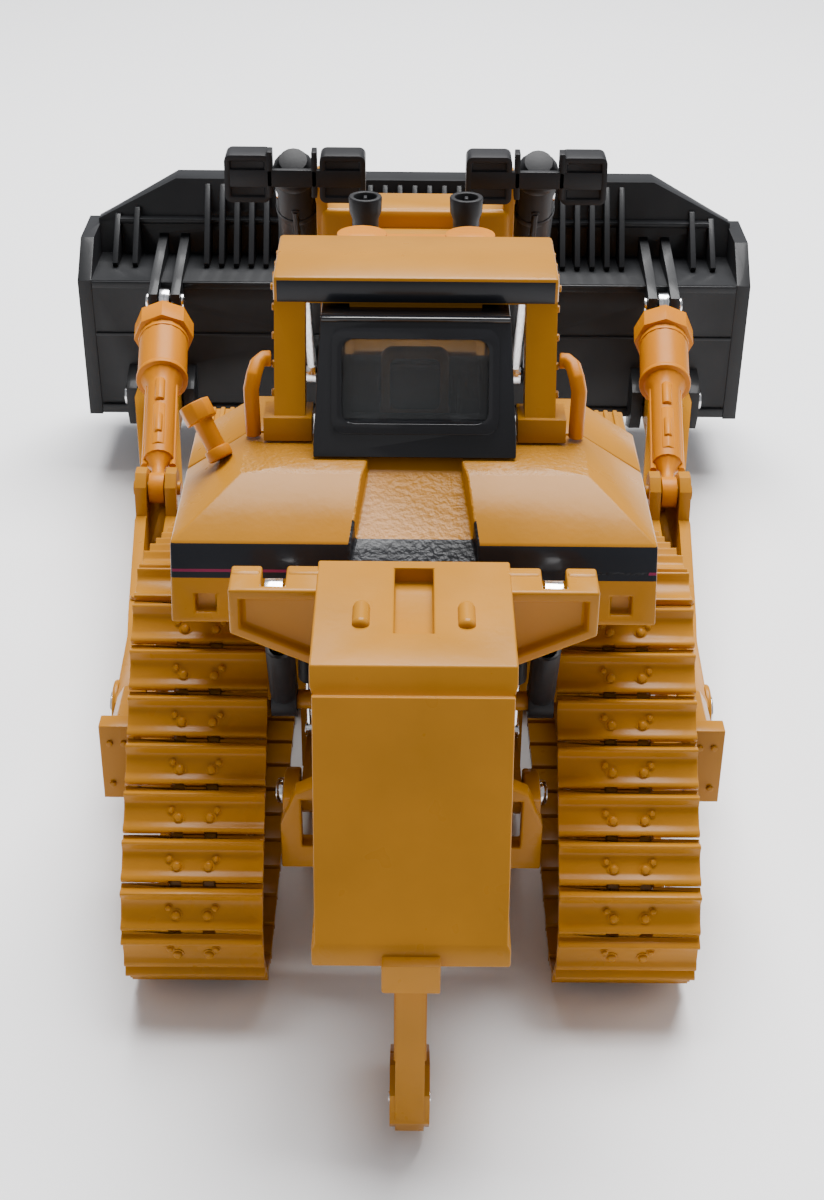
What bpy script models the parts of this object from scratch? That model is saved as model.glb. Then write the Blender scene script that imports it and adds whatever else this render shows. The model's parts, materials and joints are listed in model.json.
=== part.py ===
"""Toy crawler bulldozer at 1:50 with an elevated sprocket, a wide blade and a single-shank ripper.

Design frame, in millimetres: X to the machine's right, Y forward with 0 at the rear idler, Z up from the
ground. place() turns it into metres, with the origin under the middle of the machine.
"""

import math

import bmesh
import bpy
from mathutils import Matrix, Vector

MM = 0.001
LENGTH_CENTRE_Y = 73.5

# Running gear
TRACK_INNER_X = 19.6
TRACK_OUTER_X = 38.4
REAR_IDLER = (0.0, 12.7)
FRONT_IDLER = (88.9, 12.7)
SPROCKET = (25.1, 36.0)
GROUSER = 1.3
LINK_DEPTH = 2.7
IDLER_PAD_R = 12.7 - GROUSER
SPROCKET_PAD_R = 14.5 - GROUSER
WHEEL_GAP = 0.4
SHOES = 41
WHEEL_LO_X = 26.0
WHEEL_HI_X = 32.0
FRAME_LO_X = 23.4
FRAME_HI_X = 34.6

# Fits
PIN_R = 1.3
HOLE_R = 1.65

# Blade gear
ARM_PIVOT = (38.5, 17.3)
BLADE_PIVOT = (148.0, 19.5)
BRACE_FOOT = (91.4, 27.6)
BRACE_HEAD = (146.0, 40.8)
BRACE_FOOT_X = 45.0
BRACE_HEAD_X = 49.2
LIFT_PIVOT = (110.0, 76.0)
LIFT_EYE = (146.6, 26.0)
LIFT_X = 20.6

# Ripper
LINK_PIVOT = (26.0, 24.0)
CARRIAGE_PIVOT = (4.0, 27.0)
TILT_FOOT = (7.0, 40.0)
TILT_HEAD = (-4.2, 62.8)
TILT_X = 17.1
RIPPER_LIFT_FOOT = (14.0, 49.5)
RIPPER_LIFT_EYE = (14.0, 30.6)
RIPPER_LIFT_X = 13.8

ROUND = 24
SMALL_ROUND = 12
SIDES = (("left", -1), ("right", 1))

for old in list(bpy.data.objects):
    bpy.data.objects.remove(old, do_unlink=True)
PARTS = bpy.data.collections.new("toy_bulldozer")
CUTTERS = bpy.data.collections.new("cutters")
CUTTERS.hide_render = True
for made in (PARTS, CUTTERS):
    bpy.context.scene.collection.children.link(made)


def finish(name, colour, roughness, metallic=0.0):
    material = bpy.data.materials.new(name)
    material.use_nodes = True
    shader = material.node_tree.nodes["Principled BSDF"]
    shader.inputs["Base Color"].default_value = (*colour, 1.0)
    shader.inputs["Roughness"].default_value = roughness
    shader.inputs["Metallic"].default_value = metallic
    return material


ENAMEL = finish("yellow_enamel", (0.62, 0.31, 0.055), 0.32)
YELLOW_PLASTIC = finish("yellow_plastic", (0.78, 0.33, 0.02), 0.42)
BLACK = finish("satin_black", (0.012, 0.012, 0.013), 0.4)
GLOSS_BLACK = finish("gloss_black", (0.006, 0.006, 0.007), 0.12)
CHROME = finish("bright_pin", (0.8, 0.8, 0.8), 0.15, 1.0)
GLASS = finish("smoked_clear", (0.25, 0.27, 0.28), 0.05)
SEAT_TAN = finish("tan_plastic", (0.42, 0.2, 0.06), 0.55)


def place(x, y, z):
    """A point of the design frame, in metres."""
    return Vector((x, y - LENGTH_CENTRE_Y, z)) * MM


def keep(name, mesh, material):
    """The mesh as a named object with one material."""
    obj = bpy.data.objects.new(name, mesh)
    mesh.materials.append(material)
    PARTS.objects.link(obj)
    return obj


def block(name, across, along, up, material=ENAMEL):
    """A box between the low and high values of each pair."""
    low = place(min(across), min(along), min(up))
    high = place(max(across), max(along), max(up))
    bm = bmesh.new()
    bmesh.ops.create_cube(bm, size=1.0)
    bmesh.ops.scale(bm, vec=high - low, verts=bm.verts)
    bmesh.ops.translate(bm, vec=(high + low) / 2, verts=bm.verts)
    mesh = bpy.data.meshes.new(name)
    bm.to_mesh(mesh)
    bm.free()
    return keep(name, mesh, material)


def round_bar(name, start, end, radius, material=ENAMEL, sides=SMALL_ROUND, end_radius=None):
    """A cylinder or a cone between two points of the design frame."""
    low = place(*start)
    high = place(*end)
    bm = bmesh.new()
    bmesh.ops.create_cone(
        bm,
        cap_ends=True,
        segments=sides,
        radius1=radius * MM,
        radius2=(radius if end_radius is None else end_radius) * MM,
        depth=(high - low).length,
    )
    turn = (high - low).to_track_quat("Z", "Y").to_matrix().to_4x4()
    bmesh.ops.transform(bm, matrix=Matrix.Translation((low + high) / 2) @ turn, verts=bm.verts)
    mesh = bpy.data.meshes.new(name)
    bm.to_mesh(mesh)
    bm.free()
    obj = keep(name, mesh, material)
    mesh.shade_smooth()
    mesh.set_sharp_from_angle(angle=math.radians(40))
    return obj


def cross_bar(name, lo_x, hi_x, centre, radius, material=ENAMEL, sides=SMALL_ROUND):
    """A cylinder across the machine, at (y, z) centre."""
    return round_bar(name, (lo_x, *centre), (hi_x, *centre), radius, material, sides)


AXIS_TURNS = {
    "X": Matrix(((0, 0, 1, 0), (1, 0, 0, 0), (0, 1, 0, 0), (0, 0, 0, 1))),
    "Y": Matrix(((1, 0, 0, 0), (0, 0, -1, 0), (0, 1, 0, 0), (0, 0, 0, 1))),
    "Z": Matrix.Identity(4),
}


def plate(name, axis, outlines, lo, hi, material=ENAMEL):
    """A flat outline, and holes after it, given thickness along an axis.

    The outline's points are (y, z) for X, (x, z) for Y and (x, y) for Z.
    """
    flat = bpy.data.curves.new(name, "CURVE")
    flat.dimensions = "2D"
    flat.fill_mode = "BOTH"
    flat.extrude = abs(hi - lo) / 2 * MM
    for outline in outlines:
        spline = flat.splines.new("POLY")
        spline.points.add(len(outline) - 1)
        for point, (u, v) in zip(spline.points, outline):
            point.co = (u * MM, v * MM, 0.0, 1.0)
        spline.use_cyclic_u = True
    holder = bpy.data.objects.new(name + "_outline", flat)
    bpy.context.scene.collection.objects.link(holder)
    graph = bpy.context.evaluated_depsgraph_get()
    mesh = bpy.data.meshes.new_from_object(holder.evaluated_get(graph))
    mesh.name = name
    bpy.data.objects.remove(holder, do_unlink=True)
    middle = {"X": (1, 0, 0), "Y": (0, 1, 0), "Z": (0, 0, 1)}[axis]
    offset = Vector(middle) * ((lo + hi) / 2 * MM) + place(0, 0, 0)
    bm = bmesh.new()
    bm.from_mesh(mesh)
    bmesh.ops.remove_doubles(bm, verts=bm.verts, dist=MM * 0.001)
    bmesh.ops.transform(bm, matrix=Matrix.Translation(offset) @ AXIS_TURNS[axis], verts=bm.verts)
    bmesh.ops.recalc_face_normals(bm, faces=bm.faces)
    bm.to_mesh(mesh)
    bm.free()
    return keep(name, mesh, material)


def ring(centre, radius, sides=SMALL_ROUND):
    """Points round a circle, for an outline or a hole in one."""
    steps = [math.tau * (k + 0.5) / sides for k in range(sides)]
    return [(centre[0] + radius * math.cos(a), centre[1] + radius * math.sin(a)) for a in steps]


def capsule(first, second, radius, sides=6):
    """A round-ended outline about two points."""
    heading = math.atan2(second[1] - first[1], second[0] - first[0])
    points = []
    for centre, start in ((second, heading - math.pi / 2), (first, heading + math.pi / 2)):
        for k in range(sides + 1):
            angle = start + math.pi * k / sides
            points.append((centre[0] + radius * math.cos(angle), centre[1] + radius * math.sin(angle)))
    return points


def combine(target, tool, operation):
    """Joins or cuts with a helper, which moves to the cutters' collection."""
    PARTS.objects.unlink(tool)
    CUTTERS.objects.link(tool)
    tool.hide_render = True
    tool.display_type = "WIRE"
    modifier = target.modifiers.new(tool.name, "BOOLEAN")
    modifier.operation = operation
    modifier.object = tool
    modifier.solver = "EXACT"
    return target


def add(target, *tools):
    for tool in tools:
        combine(target, tool, "UNION")
    return target


def cut(target, *tools):
    for tool in tools:
        combine(target, tool, "DIFFERENCE")
    return target


def common(target, tool):
    return combine(target, tool, "INTERSECT")


def soften(target, width, segments=1):
    """A small bevel on the sharp edges."""
    bevel = target.modifiers.new("soft_edges", "BEVEL")
    bevel.width = width * MM
    bevel.segments = segments
    bevel.limit_method = "ANGLE"
    bevel.angle_limit = math.radians(50)
    return target


def hang_on(obj, x, centre):
    """Puts the object's origin on its joint, at (y, z) centre."""
    pivot = place(x, *centre)
    obj.data.transform(Matrix.Translation(-pivot))
    obj.location = pivot
    return obj


# ---- Tracks and running gear ----


def wheels_with(idler_r, sprocket_r):
    """The three wheels that a track runs on, anticlockwise seen from +X."""
    return [(REAR_IDLER, idler_r), (FRONT_IDLER, idler_r), (SPROCKET, sprocket_r)]


def outward(first, second):
    """The unit normal of the straight run between two wheels."""
    (c1, r1), (c2, r2) = first, second
    run = Vector((c2[0] - c1[0], c2[1] - c1[1]))
    share = (r1 - r2) / run.length
    run.normalize()
    return run * share + Vector((run.y, -run.x)) * math.sqrt(1 - share * share)


def track_path(wheels):
    """Arcs and straights of the taut loop, each as (length, function of the distance along it)."""
    pieces = []
    for k, wheel in enumerate(wheels):
        after = wheels[(k + 1) % 3]
        arrive = outward(wheels[k - 1], wheel)
        leave = outward(wheel, after)
        centre, radius = Vector(wheel[0]), wheel[1]
        start = math.atan2(arrive.y, arrive.x)
        sweep = (math.atan2(leave.y, leave.x) - start) % math.tau

        def arc(s, centre=centre, radius=radius, start=start):
            normal = Vector((math.cos(start + s / radius), math.sin(start + s / radius)))
            return centre + normal * radius, normal

        pieces.append((sweep * radius, arc))
        begin = centre + leave * radius
        run = Vector(after[0]) + leave * after[1] - begin

        def straight(s, begin=begin, run=run.normalized(), leave=leave):
            return begin + run * s, leave

        pieces.append((run.length, straight))
    return pieces


def on_track(pieces, share):
    """The point and outward normal at a share of the loop's length."""
    s = share % 1.0 * sum(length for length, _ in pieces)
    for length, locate in pieces:
        if s <= length:
            return locate(s)
        s -= length
    return pieces[-1][1](pieces[-1][0])


SHOE_OUTLINE = ((0.02, 0.0), (0.10, GROUSER), (0.27, GROUSER), (0.36, 0.0))


def build_track(side_name, side):
    path = track_path(wheels_with(IDLER_PAD_R, SPROCKET_PAD_R))
    inner_path = track_path(wheels_with(IDLER_PAD_R - LINK_DEPTH, SPROCKET_PAD_R - LINK_DEPTH))
    outside = []
    for shoe in range(SHOES):
        for share, rise in SHOE_OUTLINE:
            point, normal = on_track(path, (shoe + share) / SHOES)
            outside.append(tuple(point + normal * rise))
    inner_count = 2 * SHOES
    inside = [tuple(on_track(inner_path, k / inner_count)[0]) for k in range(inner_count)]
    plate(
        f"track_belt_{side_name}",
        "X",
        [outside, inside],
        side * TRACK_INNER_X,
        side * TRACK_OUTER_X,
    )


def build_idler(name, side, centre):
    radius = IDLER_PAD_R - LINK_DEPTH - WHEEL_GAP
    wheel = cross_bar(name, side * WHEEL_LO_X, side * WHEEL_HI_X, centre, radius, sides=ROUND)
    add(wheel, cross_bar(name + "_axle", side * 23.8, side * 34.3, centre, 1.4))
    hang_on_axis(wheel, side, centre)


def hang_on_axis(wheel, side, centre):
    hang_on(wheel, side * (WHEEL_LO_X + WHEEL_HI_X) / 2, centre)


def build_sprocket(side_name, side):
    radius = SPROCKET_PAD_R - LINK_DEPTH - WHEEL_GAP
    rim = ring(SPROCKET, radius, 3 * ROUND // 2)
    teeth = [
        (
            SPROCKET[0] + (y - SPROCKET[0]) * (1.0 if k % 3 else 0.86),
            SPROCKET[1] + (z - SPROCKET[1]) * (1.0 if k % 3 else 0.86),
        )
        for k, (y, z) in enumerate(rim)
    ]
    wheel = plate(f"sprocket_{side_name}", "X", [teeth], side * 27.0, side * 31.5)
    add(
        wheel,
        cross_bar("hub", side * 31.0, side * 36.8, SPROCKET, 4.5, sides=ROUND),
        cross_bar("stub", side * 21.5, side * 28.0, SPROCKET, 2.4),
    )
    hang_on_axis(wheel, side, SPROCKET)


def build_final_drive(side_name, side):
    """The case between the chassis and the sprocket, bored for the sprocket's stub."""
    case = cross_bar(f"final_drive_{side_name}", side * 17.2, side * 25.6, SPROCKET, 7.0, sides=ROUND)
    cut(case, cross_bar("stub_bore", side * 20.9, side * 26.5, SPROCKET, 2.65))


def build_track_frame(side_name, side):
    """The roller frame: forks for the idlers, a spine with the rollers, and the trunnion of the push arm."""
    rear, front = REAR_IDLER[0], FRONT_IDLER[0]
    frame = block(
        f"track_frame_{side_name}", (side * FRAME_LO_X, side * FRAME_HI_X), (10.5, 78.5), (7.0, 16.6)
    )
    for x in (FRAME_LO_X, FRAME_HI_X - 1.6):
        cheek = plate(
            "fork_cheek",
            "X",
            [capsule(REAR_IDLER, FRONT_IDLER, 3.0), ring(REAR_IDLER, HOLE_R), ring(FRONT_IDLER, HOLE_R)],
            side * x,
            side * (x + 1.6),
        )
        add(frame, cheek)
    rollers = 7
    for k in range(rollers):
        y = rear + 14.5 + k * (front - rear - 29.0) / (rollers - 1)
        add(frame, cross_bar("roller", side * 25.2, side * 32.8, (y, 7.4), 3.2))
    add(
        frame,
        block("trunnion_root", (side * 33.9, side * 36.2), (34.5, 42.5), (12.0, 21.0)),
        cross_bar("trunnion", side * 35.0, side * 46.0, ARM_PIVOT, PIN_R),
    )


def build_trunnion_guard(side_name, side):
    """The plate with its rounded cap that stands outside the track behind the push arm."""
    guard = block(f"trunnion_guard_{side_name}", (side * 38.9, side * 43.8), (13.4, 16.2), (18.5, 30.8))
    dome = [(43.7, 18.6), (43.7, 25.0), (42.6, 26.9), (40.9, 27.3), (39.2, 26.9), (39.2, 18.6)]
    add(
        guard,
        plate("cap", "Y", [[(side * x, z) for x, z in dome]], 15.9, 29.5),
        block("guard_foot", (side * 34.95, side * 40.5), (18.5, 28.5), (13.6, 24.0)),
    )


for side_name, side in SIDES:
    build_track(side_name, side)
    build_idler(f"rear_idler_{side_name}", side, REAR_IDLER)
    build_idler(f"front_idler_{side_name}", side, FRONT_IDLER)
    build_sprocket(side_name, side)
    build_final_drive(side_name, side)
    build_track_frame(side_name, side)
    build_trunnion_guard(side_name, side)


# ---- Chassis and bodywork ----

CHASSIS_SIDE = [(32, 10), (101, 10), (105.6, 14), (105.6, 24), (60, 31), (49.7, 34), (49.7, 53.7), (11, 53.7)]
CHASSIS_SIDE += [(11, 36), (32, 31)]


def build_chassis():
    chassis = plate("chassis", "X", [CHASSIS_SIDE], -16.8, 16.8)
    cut(
        chassis,
        block("left_relief", (-18, -11.4), (5, 33.0), (5, 54.5)),
        block("right_relief", (11.4, 18), (5, 33.0), (5, 54.5)),
    )
    add(
        chassis,
        block("rear_keel", (-9.0, 9.0), (21.0, 36.0), (19.0, 34.0)),
        cross_bar("link_pin", -15.4, 15.4, LINK_PIVOT, PIN_R),
        block("tilt_lug", (-10.5, 10.5), (4.4, 14.0), (37.2, 43.0)),
        cross_bar("tilt_pin", -18.6, 18.6, TILT_FOOT, PIN_R),
        block("drive_case", (-16.9, 16.9), (17.5, 33.5), (33.5, 44.0)),
    )


def build_cross_shaft():
    """The shaft and the front beam that carry the track frames."""
    shaft = block("cross_beam", (-23.0, 23.0), (62.0, 70.0), (6.2, 9.6))
    add(shaft, block("beam_pad", (-8.0, 8.0), (60.0, 72.0), (5.4, 9.6)))


def build_fuel_tank():
    side_view = [(3.0, 54.4), (6.2, 64.4), (14.5, 70.0), (26.7, 70.0), (26.7, 54.4)]
    rear_view = [(-31, 50), (31, 50), (31, 64.4), (22.3, 70.2), (-22.3, 70.2), (-31, 64.4)]
    tank = plate("fuel_tank", "X", [side_view], -31.0, 31.0)
    common(tank, plate("tank_shoulders", "Y", [rear_view], -2.0, 30.0))
    floor_line = [(-1.0, 60.0), (3.9, 60.9), (18.3, 68.4), (22.0, 71.0), (-1.0, 71.0)]
    trough = plate("trough", "X", [floor_line], -12.0, 12.0)
    plan = [(-9.2, -2.0), (9.2, -2.0), (5.4, 24.0), (-5.4, 24.0)]
    common(trough, plate("trough_plan", "Z", [plan], 50.0, 80.0))
    cut(tank, trough)
    for _, side in SIDES:
        cut(tank, block("step_recess", (side * 25.2, side * 27.9), (1.0, 5.0), (55.6, 58.0)))


def build_fender(side_name, side):
    """The side platform beside the cab, sloped like the tank's shoulder, with its tread step."""
    view = [(17.6, 48.6), (31, 54.4), (31, 64.4), (22.3, 70.0), (17.6, 70.0)]
    fender = plate(f"fender_{side_name}", "Y", [[(side * x, z) for x, z in view]], 27.05, 38.5)
    step = [(17.6, 50.5), (30.6, 56.0), (30.6, 62.9), (17.6, 62.9)]
    add(fender, plate("tread_step", "Y", [[(side * x, z) for x, z in step]], 38.0, 49.4))


def build_hood():
    view = [(50.1, 40.5), (105.6, 30.5), (105.6, 70.4), (99.0, 72.6), (50.1, 69.2)]
    hood = plate("engine_hood", "X", [view], -12.4, 12.4)
    soften(hood, 1.0, 2)
    cut(hood, *[round_bar("stack_hole", (x, 78, 60), (x, 78, 76), 2.5) for x in (-7.8, 7.8)])
    cut(hood, plate("hood_underside", "X", [[(52, 30), (104, 20), (104, 45), (52, 50)]], -10.4, 10.4))


def build_radiator_guard():
    """The nose that carries the grille and the two lift cylinder yokes."""
    view = [(106.0, 14.5), (118.6, 17.5), (120.4, 40.0), (119.0, 70.5), (115.0, 73.6), (106.0, 73.6)]
    nose = plate("radiator_guard", "X", [view], -16.2, 16.2)
    soften(nose, 1.2, 2)
    cut(nose, block("grille_recess", (-12.6, 12.6), (118.0, 124.0), (24.0, 66.0)))
    for _, side in SIDES:
        y, z = LIFT_PIVOT
        add(
            nose,
            block("yoke_arm", (side * 15.0, side * 16.9), (y - 3.2, y + 3.2), (z - 8.0, z + 3.0)),
            cross_bar("yoke_pin", side * 16.0, side * 23.9, LIFT_PIVOT, PIN_R),
        )


def build_cab():
    """The gloss black cab: a shell with window openings all round."""
    shape = [(18.6, 70.35), (27.0, 86.4), (46.5, 86.4), (49.6, 63.5), (27.05, 63.5), (27.05, 70.35)]
    shell = plate("cab_shell", "X", [shape], -13.3, 13.3, GLOSS_BLACK)
    front_view = [(-13.4, 62), (13.4, 62), (13.3, 72), (12.4, 87), (-12.4, 87), (-13.3, 72)]
    common(shell, plate("cab_taper", "Y", [front_view], 10.0, 60.0))
    room = [(22.0, 71.9), (28.2, 84.9), (45.2, 84.9), (48.0, 64.6), (28.6, 64.6), (28.6, 71.9)]
    cut(shell, plate("cab_room", "X", [room], -11.3, 11.3))
    cut(shell, block("rear_window", (-10.0, 10.0), (10.0, 30.0), (74.0, 84.6)))
    cut(shell, block("front_window", (-10.0, 10.0), (40.0, 60.0), (72.0, 84.3)))
    side_hole = [(26.2, 74.2), (30.6, 84.2), (43.6, 84.2), (45.4, 71.5), (30.0, 71.5)]
    cut(shell, plate("side_window", "X", [side_hole], -15.0, 15.0))


def build_glazing():
    """One clear moulding that lines the cab and fills its windows."""
    outer = [(22.3, 72.2), (28.4, 84.6), (45.0, 84.6), (47.2, 68.0), (30.0, 68.0), (30.0, 72.2)]
    lining = [(23.5, 71.0), (29.2, 83.7), (44.1, 83.7), (46.5, 66.0), (30.9, 66.0), (30.9, 71.0)]
    glazing = plate("cab_glazing", "X", [outer], -10.9, 10.9, GLASS)
    cut(glazing, plate("glazing_room", "X", [lining], -10.2, 10.2))


def build_seat():
    seat = block("operator_seat", (-5.2, 5.2), (32.6, 41.0), (64.95, 71.0), SEAT_TAN)
    back = [(31.9, 69.0), (34.6, 69.0), (33.6, 79.6), (32.0, 79.6)]
    add(seat, plate("seat_back", "X", [back], -4.6, 4.6))
    soften(seat, 0.4)


def build_console():
    console = block("control_console", (-9.0, 9.0), (42.2, 44.6), (64.95, 73.5), BLACK)
    add(console, block("lever_box", (6.0, 9.0), (36.0, 43.0), (64.95, 71.0)))


def build_canopy():
    """The rollover canopy: a flat roof on two leaning rear posts, with its feet on the tank."""
    roof = block("rops_canopy", (-18.8, 18.8), (30.2, 46.4), (87.0, 90.8))
    soften(roof, 0.5, 2)
    for _, side in SIDES:
        post = [(24.4, 72.5), (28.2, 72.5), (34.0, 87.6), (30.4, 87.6)]
        foot = [(23.4, 70.35), (29.6, 70.35), (29.2, 73.4), (24.0, 73.4)]
        add(
            roof,
            plate("post", "X", [post], side * 14.6, side * 18.7),
            plate("foot", "X", [foot], side * 13.7, side * 20.1),
        )


def build_air_unit():
    """The rounded cooling unit on the roof's front."""
    unit = block("roof_air_unit", (-11.3, 11.3), (46.8, 54.0), (86.0, 89.6), YELLOW_PLASTIC)
    soften(unit, 1.0, 3)


def build_stack(side_name, side):
    """A tailpipe turned from one profile, slightly flared at the top."""
    profile = [(0.0, 85.6), (2.6, 85.6), (2.5, 83.2), (2.05, 82.0), (2.05, 61.0), (0.0, 61.0)]
    mesh = bpy.data.meshes.new(f"exhaust_stack_{side_name}")
    bm = bmesh.new()
    points = [bm.verts.new((r * MM, 0.0, z * MM)) for r, z in profile]
    for first, second in zip(points, points[1:]):
        bm.edges.new((first, second))
    bm.to_mesh(mesh)
    bm.free()
    stack = keep(mesh.name, mesh, BLACK)
    stack.location = place(side * 7.8, 78.0, 0.0)
    screw = stack.modifiers.new("turn", "SCREW")
    screw.steps = 16
    screw.render_steps = 16
    screw.use_merge_vertices = True
    screw.merge_threshold = 0.00001
    cut(stack, round_bar("mouth", (side * 7.8, 78, 82), (side * 7.8, 78, 88), 1.8, sides=16))


def build_rail(side_name, side):
    """A bent handrail of round bar from the tank's shoulder to the canopy post."""
    route = [(21.6, 25.2, 70.35), (21.7, 25.3, 77.0), (21.3, 25.8, 78.8), (20.9, 27.2, 79.8)]
    route += [(20.2, 28.4, 80.0), (19.15, 28.5, 80.0)]
    bar = bpy.data.curves.new(f"handrail_{side_name}", "CURVE")
    bar.dimensions = "3D"
    bar.bevel_depth = 1.15 * MM
    bar.bevel_resolution = 1
    bar.use_fill_caps = True
    spline = bar.splines.new("POLY")
    spline.points.add(len(route) - 1)
    for point, (x, y, z) in zip(spline.points, route):
        point.co = (*place(side * x, y, z), 1.0)
    obj = bpy.data.objects.new(bar.name, bar)
    bar.materials.append(YELLOW_PLASTIC)
    PARTS.objects.link(obj)


def build_filler():
    """The fuel filler: a leaning neck with a square cap, on the left shoulder."""
    neck = round_bar("fuel_filler", (-25.6, 21.5, 68.6), (-28.4, 24.0, 73.4), 1.35, YELLOW_PLASTIC)
    add(neck, round_bar("filler_cap", (-28.2, 23.8, 73.0), (-29.4, 24.9, 75.0), 2.2, sides=8))


build_chassis()
build_cross_shaft()
build_fuel_tank()
for side_name, side in SIDES:
    build_fender(side_name, side)
    build_stack(side_name, side)
    build_rail(side_name, side)
build_hood()
build_radiator_guard()
build_cab()
build_glazing()
build_seat()
build_console()
build_canopy()
build_air_unit()
build_filler()


# ---- Blade, push arms and their cylinders ----


def mirrored(side, outline):
    """An outline whose first value is X, turned to one side of the machine."""
    return [(side * x, y) for x, y in outline]


BLADE_BACK = [(151.9, 13.6), (150.5, 43.2), (166.2, 43.2), (166.8, 58.8)]
BLADE_FACE = [(172.4, 58.8), (169.4, 52.0), (167.9, 45.0), (167.8, 38.0), (169.2, 31.0), (171.8, 24.6)]
BLADE_TOE = [(175.0, 20.8), (175.0, 13.6)]


def build_blade():
    blade = plate("blade", "X", [BLADE_BACK + BLADE_FACE + BLADE_TOE], -64.6, 64.6, BLACK)
    front_view = [(-65, 10), (65, 10), (65, 50.2), (47.1, 59.5), (-47.1, 59.5), (-65, 50.2)]
    common(blade, plate("blade_corners", "Y", [front_view], 140.0, 190.0))
    cheek = [(151.6, 13.4), (150.4, 43.0), (158.0, 49.4), (171.0, 49.4), (176.0, 30.0), (181.8, 14.6), (179, 13.4)]
    brace_ear = [(144.0, 38.7), (147.5, 38.0), (152.5, 39.5), (166.6, 43.0), (166.8, 47.5), (150.0, 44.4), (144.2, 42.8)]
    arm_lug = [(144.8, 17.0), (146.5, 13.6), (152.4, 11.4), (152.4, 25.0), (148.0, 24.0), (145.0, 22.2)]
    lift_lug = [(144.2, 24.6), (146.0, 23.4), (152.2, 22.0), (152.2, 31.5), (147.6, 29.0), (144.6, 27.6)]
    for _, side in SIDES:
        add(blade, plate("cheek", "X", [cheek], side * 64.4, side * 67.1))
        for inner in (BRACE_HEAD_X - 3.1, BRACE_HEAD_X + 1.3):
            add(blade, plate("brace_ear", "X", [brace_ear], side * inner, side * (inner + 1.8)))
        for inner in (44.4, 55.9):
            add(blade, plate("arm_lug", "X", [arm_lug], side * inner, side * (inner + 2.2)))
        for inner in (LIFT_X - 2.8, LIFT_X + 1.4):
            add(blade, plate("lift_lug", "X", [lift_lug], side * inner, side * (inner + 1.4)))
        add(
            blade,
            cross_bar("brace_pin", side * 46.2, side * 52.0, BRACE_HEAD, 1.0),
            cross_bar("arm_pin", side * 44.6, side * 57.9, BLADE_PIVOT, PIN_R),
            cross_bar("lift_pin", side * 18.0, side * 23.2, LIFT_EYE, 0.7),
        )
    hang_on(blade, 0.0, BLADE_PIVOT)


def build_cutting_edge():
    edge_view = [(175.35, 13.6), (182.0, 13.6), (181.4, 15.2), (175.35, 20.4)]
    edge = plate("cutting_edge", "X", [edge_view], -64.0, 64.0, BLACK)
    hang_on(edge, 0.0, BLADE_PIVOT)


def build_push_arm(side_name, side):
    """A box arm that kinks outwards past the track, with an open channel and the fork of the brace."""
    plan = [(39.2, 34.6), (45.2, 34.6), (45.2, 50.0), (48.6, 86.0), (48.6, 96.5), (55.4, 138.0), (55.4, 151.4)]
    plan += [(47.1, 151.4), (47.1, 140.0), (41.5, 98.0), (41.4, 86.0), (39.2, 54.0)]
    view = [(34.6, 14.4), (34.6, 20.4), (56.0, 23.6), (87.6, 24.0), (88.2, 29.2), (90.2, 31.1), (92.6, 31.1)]
    view += [(94.6, 29.2), (95.6, 24.2), (130.0, 23.6), (146.0, 23.4), (149.6, 21.9), (149.7, 17.2)]
    view += [(148.0, 15.6), (130.0, 14.4), (60.0, 13.0), (40.0, 12.6)]
    arm = plate(f"push_arm_{side_name}", "Z", [mirrored(side, plan)], 10.0, 34.0)
    holes = [ring(ARM_PIVOT, HOLE_R), ring(BLADE_PIVOT, HOLE_R)]
    common(arm, plate("arm_view", "X", [view, *holes], side * 36.0, side * 60.0))
    channel = [(41.7, 46.0), (43.2, 46.0), (46.65, 86.0), (46.65, 104.0), (43.35, 104.0), (43.35, 86.0)]
    cut(arm, plate("channel", "Z", [mirrored(side, channel)], 17.0, 40.0))
    add(arm, cross_bar("fork_pin", side * 40.9, side * 49.1, BRACE_FOOT, PIN_R))
    hang_on(arm, 0.0, ARM_PIVOT)


def along(start, end, distance):
    """A point at a distance from start towards end."""
    first, second = Vector(start), Vector(end)
    return tuple(first + (second - first).normalized() * distance)


def build_brace(side_name, side):
    """The long strut from the arm's fork to the blade's top: a stepped barrel, and a short bright rod."""
    foot = (side * BRACE_FOOT_X, *BRACE_FOOT)
    head = (side * BRACE_HEAD_X, *BRACE_HEAD)

    def at(distance):
        return along(foot, head, distance)

    eye = [ring(BRACE_FOOT, 2.7, 16), ring(BRACE_FOOT, HOLE_R)]
    barrel = plate(f"brace_barrel_{side_name}", "X", eye, side * 43.7, side * 46.3, YELLOW_PLASTIC)
    add(
        barrel,
        round_bar("neck", at(2.3), at(5.4), 1.2),
        round_bar("neck_flare", at(5.0), at(7.5), 1.2, end_radius=2.7),
        round_bar("tube", at(7.2), at(29.0), 2.8, sides=16),
        round_bar("shoulder", at(28.5), at(31.5), 2.8, sides=16, end_radius=4.6),
        round_bar("barrel", at(31.0), at(45.0), 4.65, sides=16),
        round_bar("collar", at(43.8), at(48.4), 5.7, sides=8),
    )
    cut(barrel, round_bar("rod_bore", at(34.0), at(50.0), 1.9))
    hang_on(barrel, side * BRACE_FOOT_X, BRACE_FOOT)
    half = 0.95
    rod = round_bar(f"brace_rod_{side_name}", at(39.0), at(52.0), 1.4, CHROME)
    add(rod, round_bar("rod_neck", at(51.5), at(54.7), 0.8))
    eye = [ring(BRACE_HEAD, 2.5, 16), ring(BRACE_HEAD, 1.6)]
    add(rod, plate("rod_eye", "X", eye, side * (BRACE_HEAD_X - half), side * (BRACE_HEAD_X + half)))
    hang_on(rod, side * BRACE_HEAD_X, BRACE_HEAD)


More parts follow.
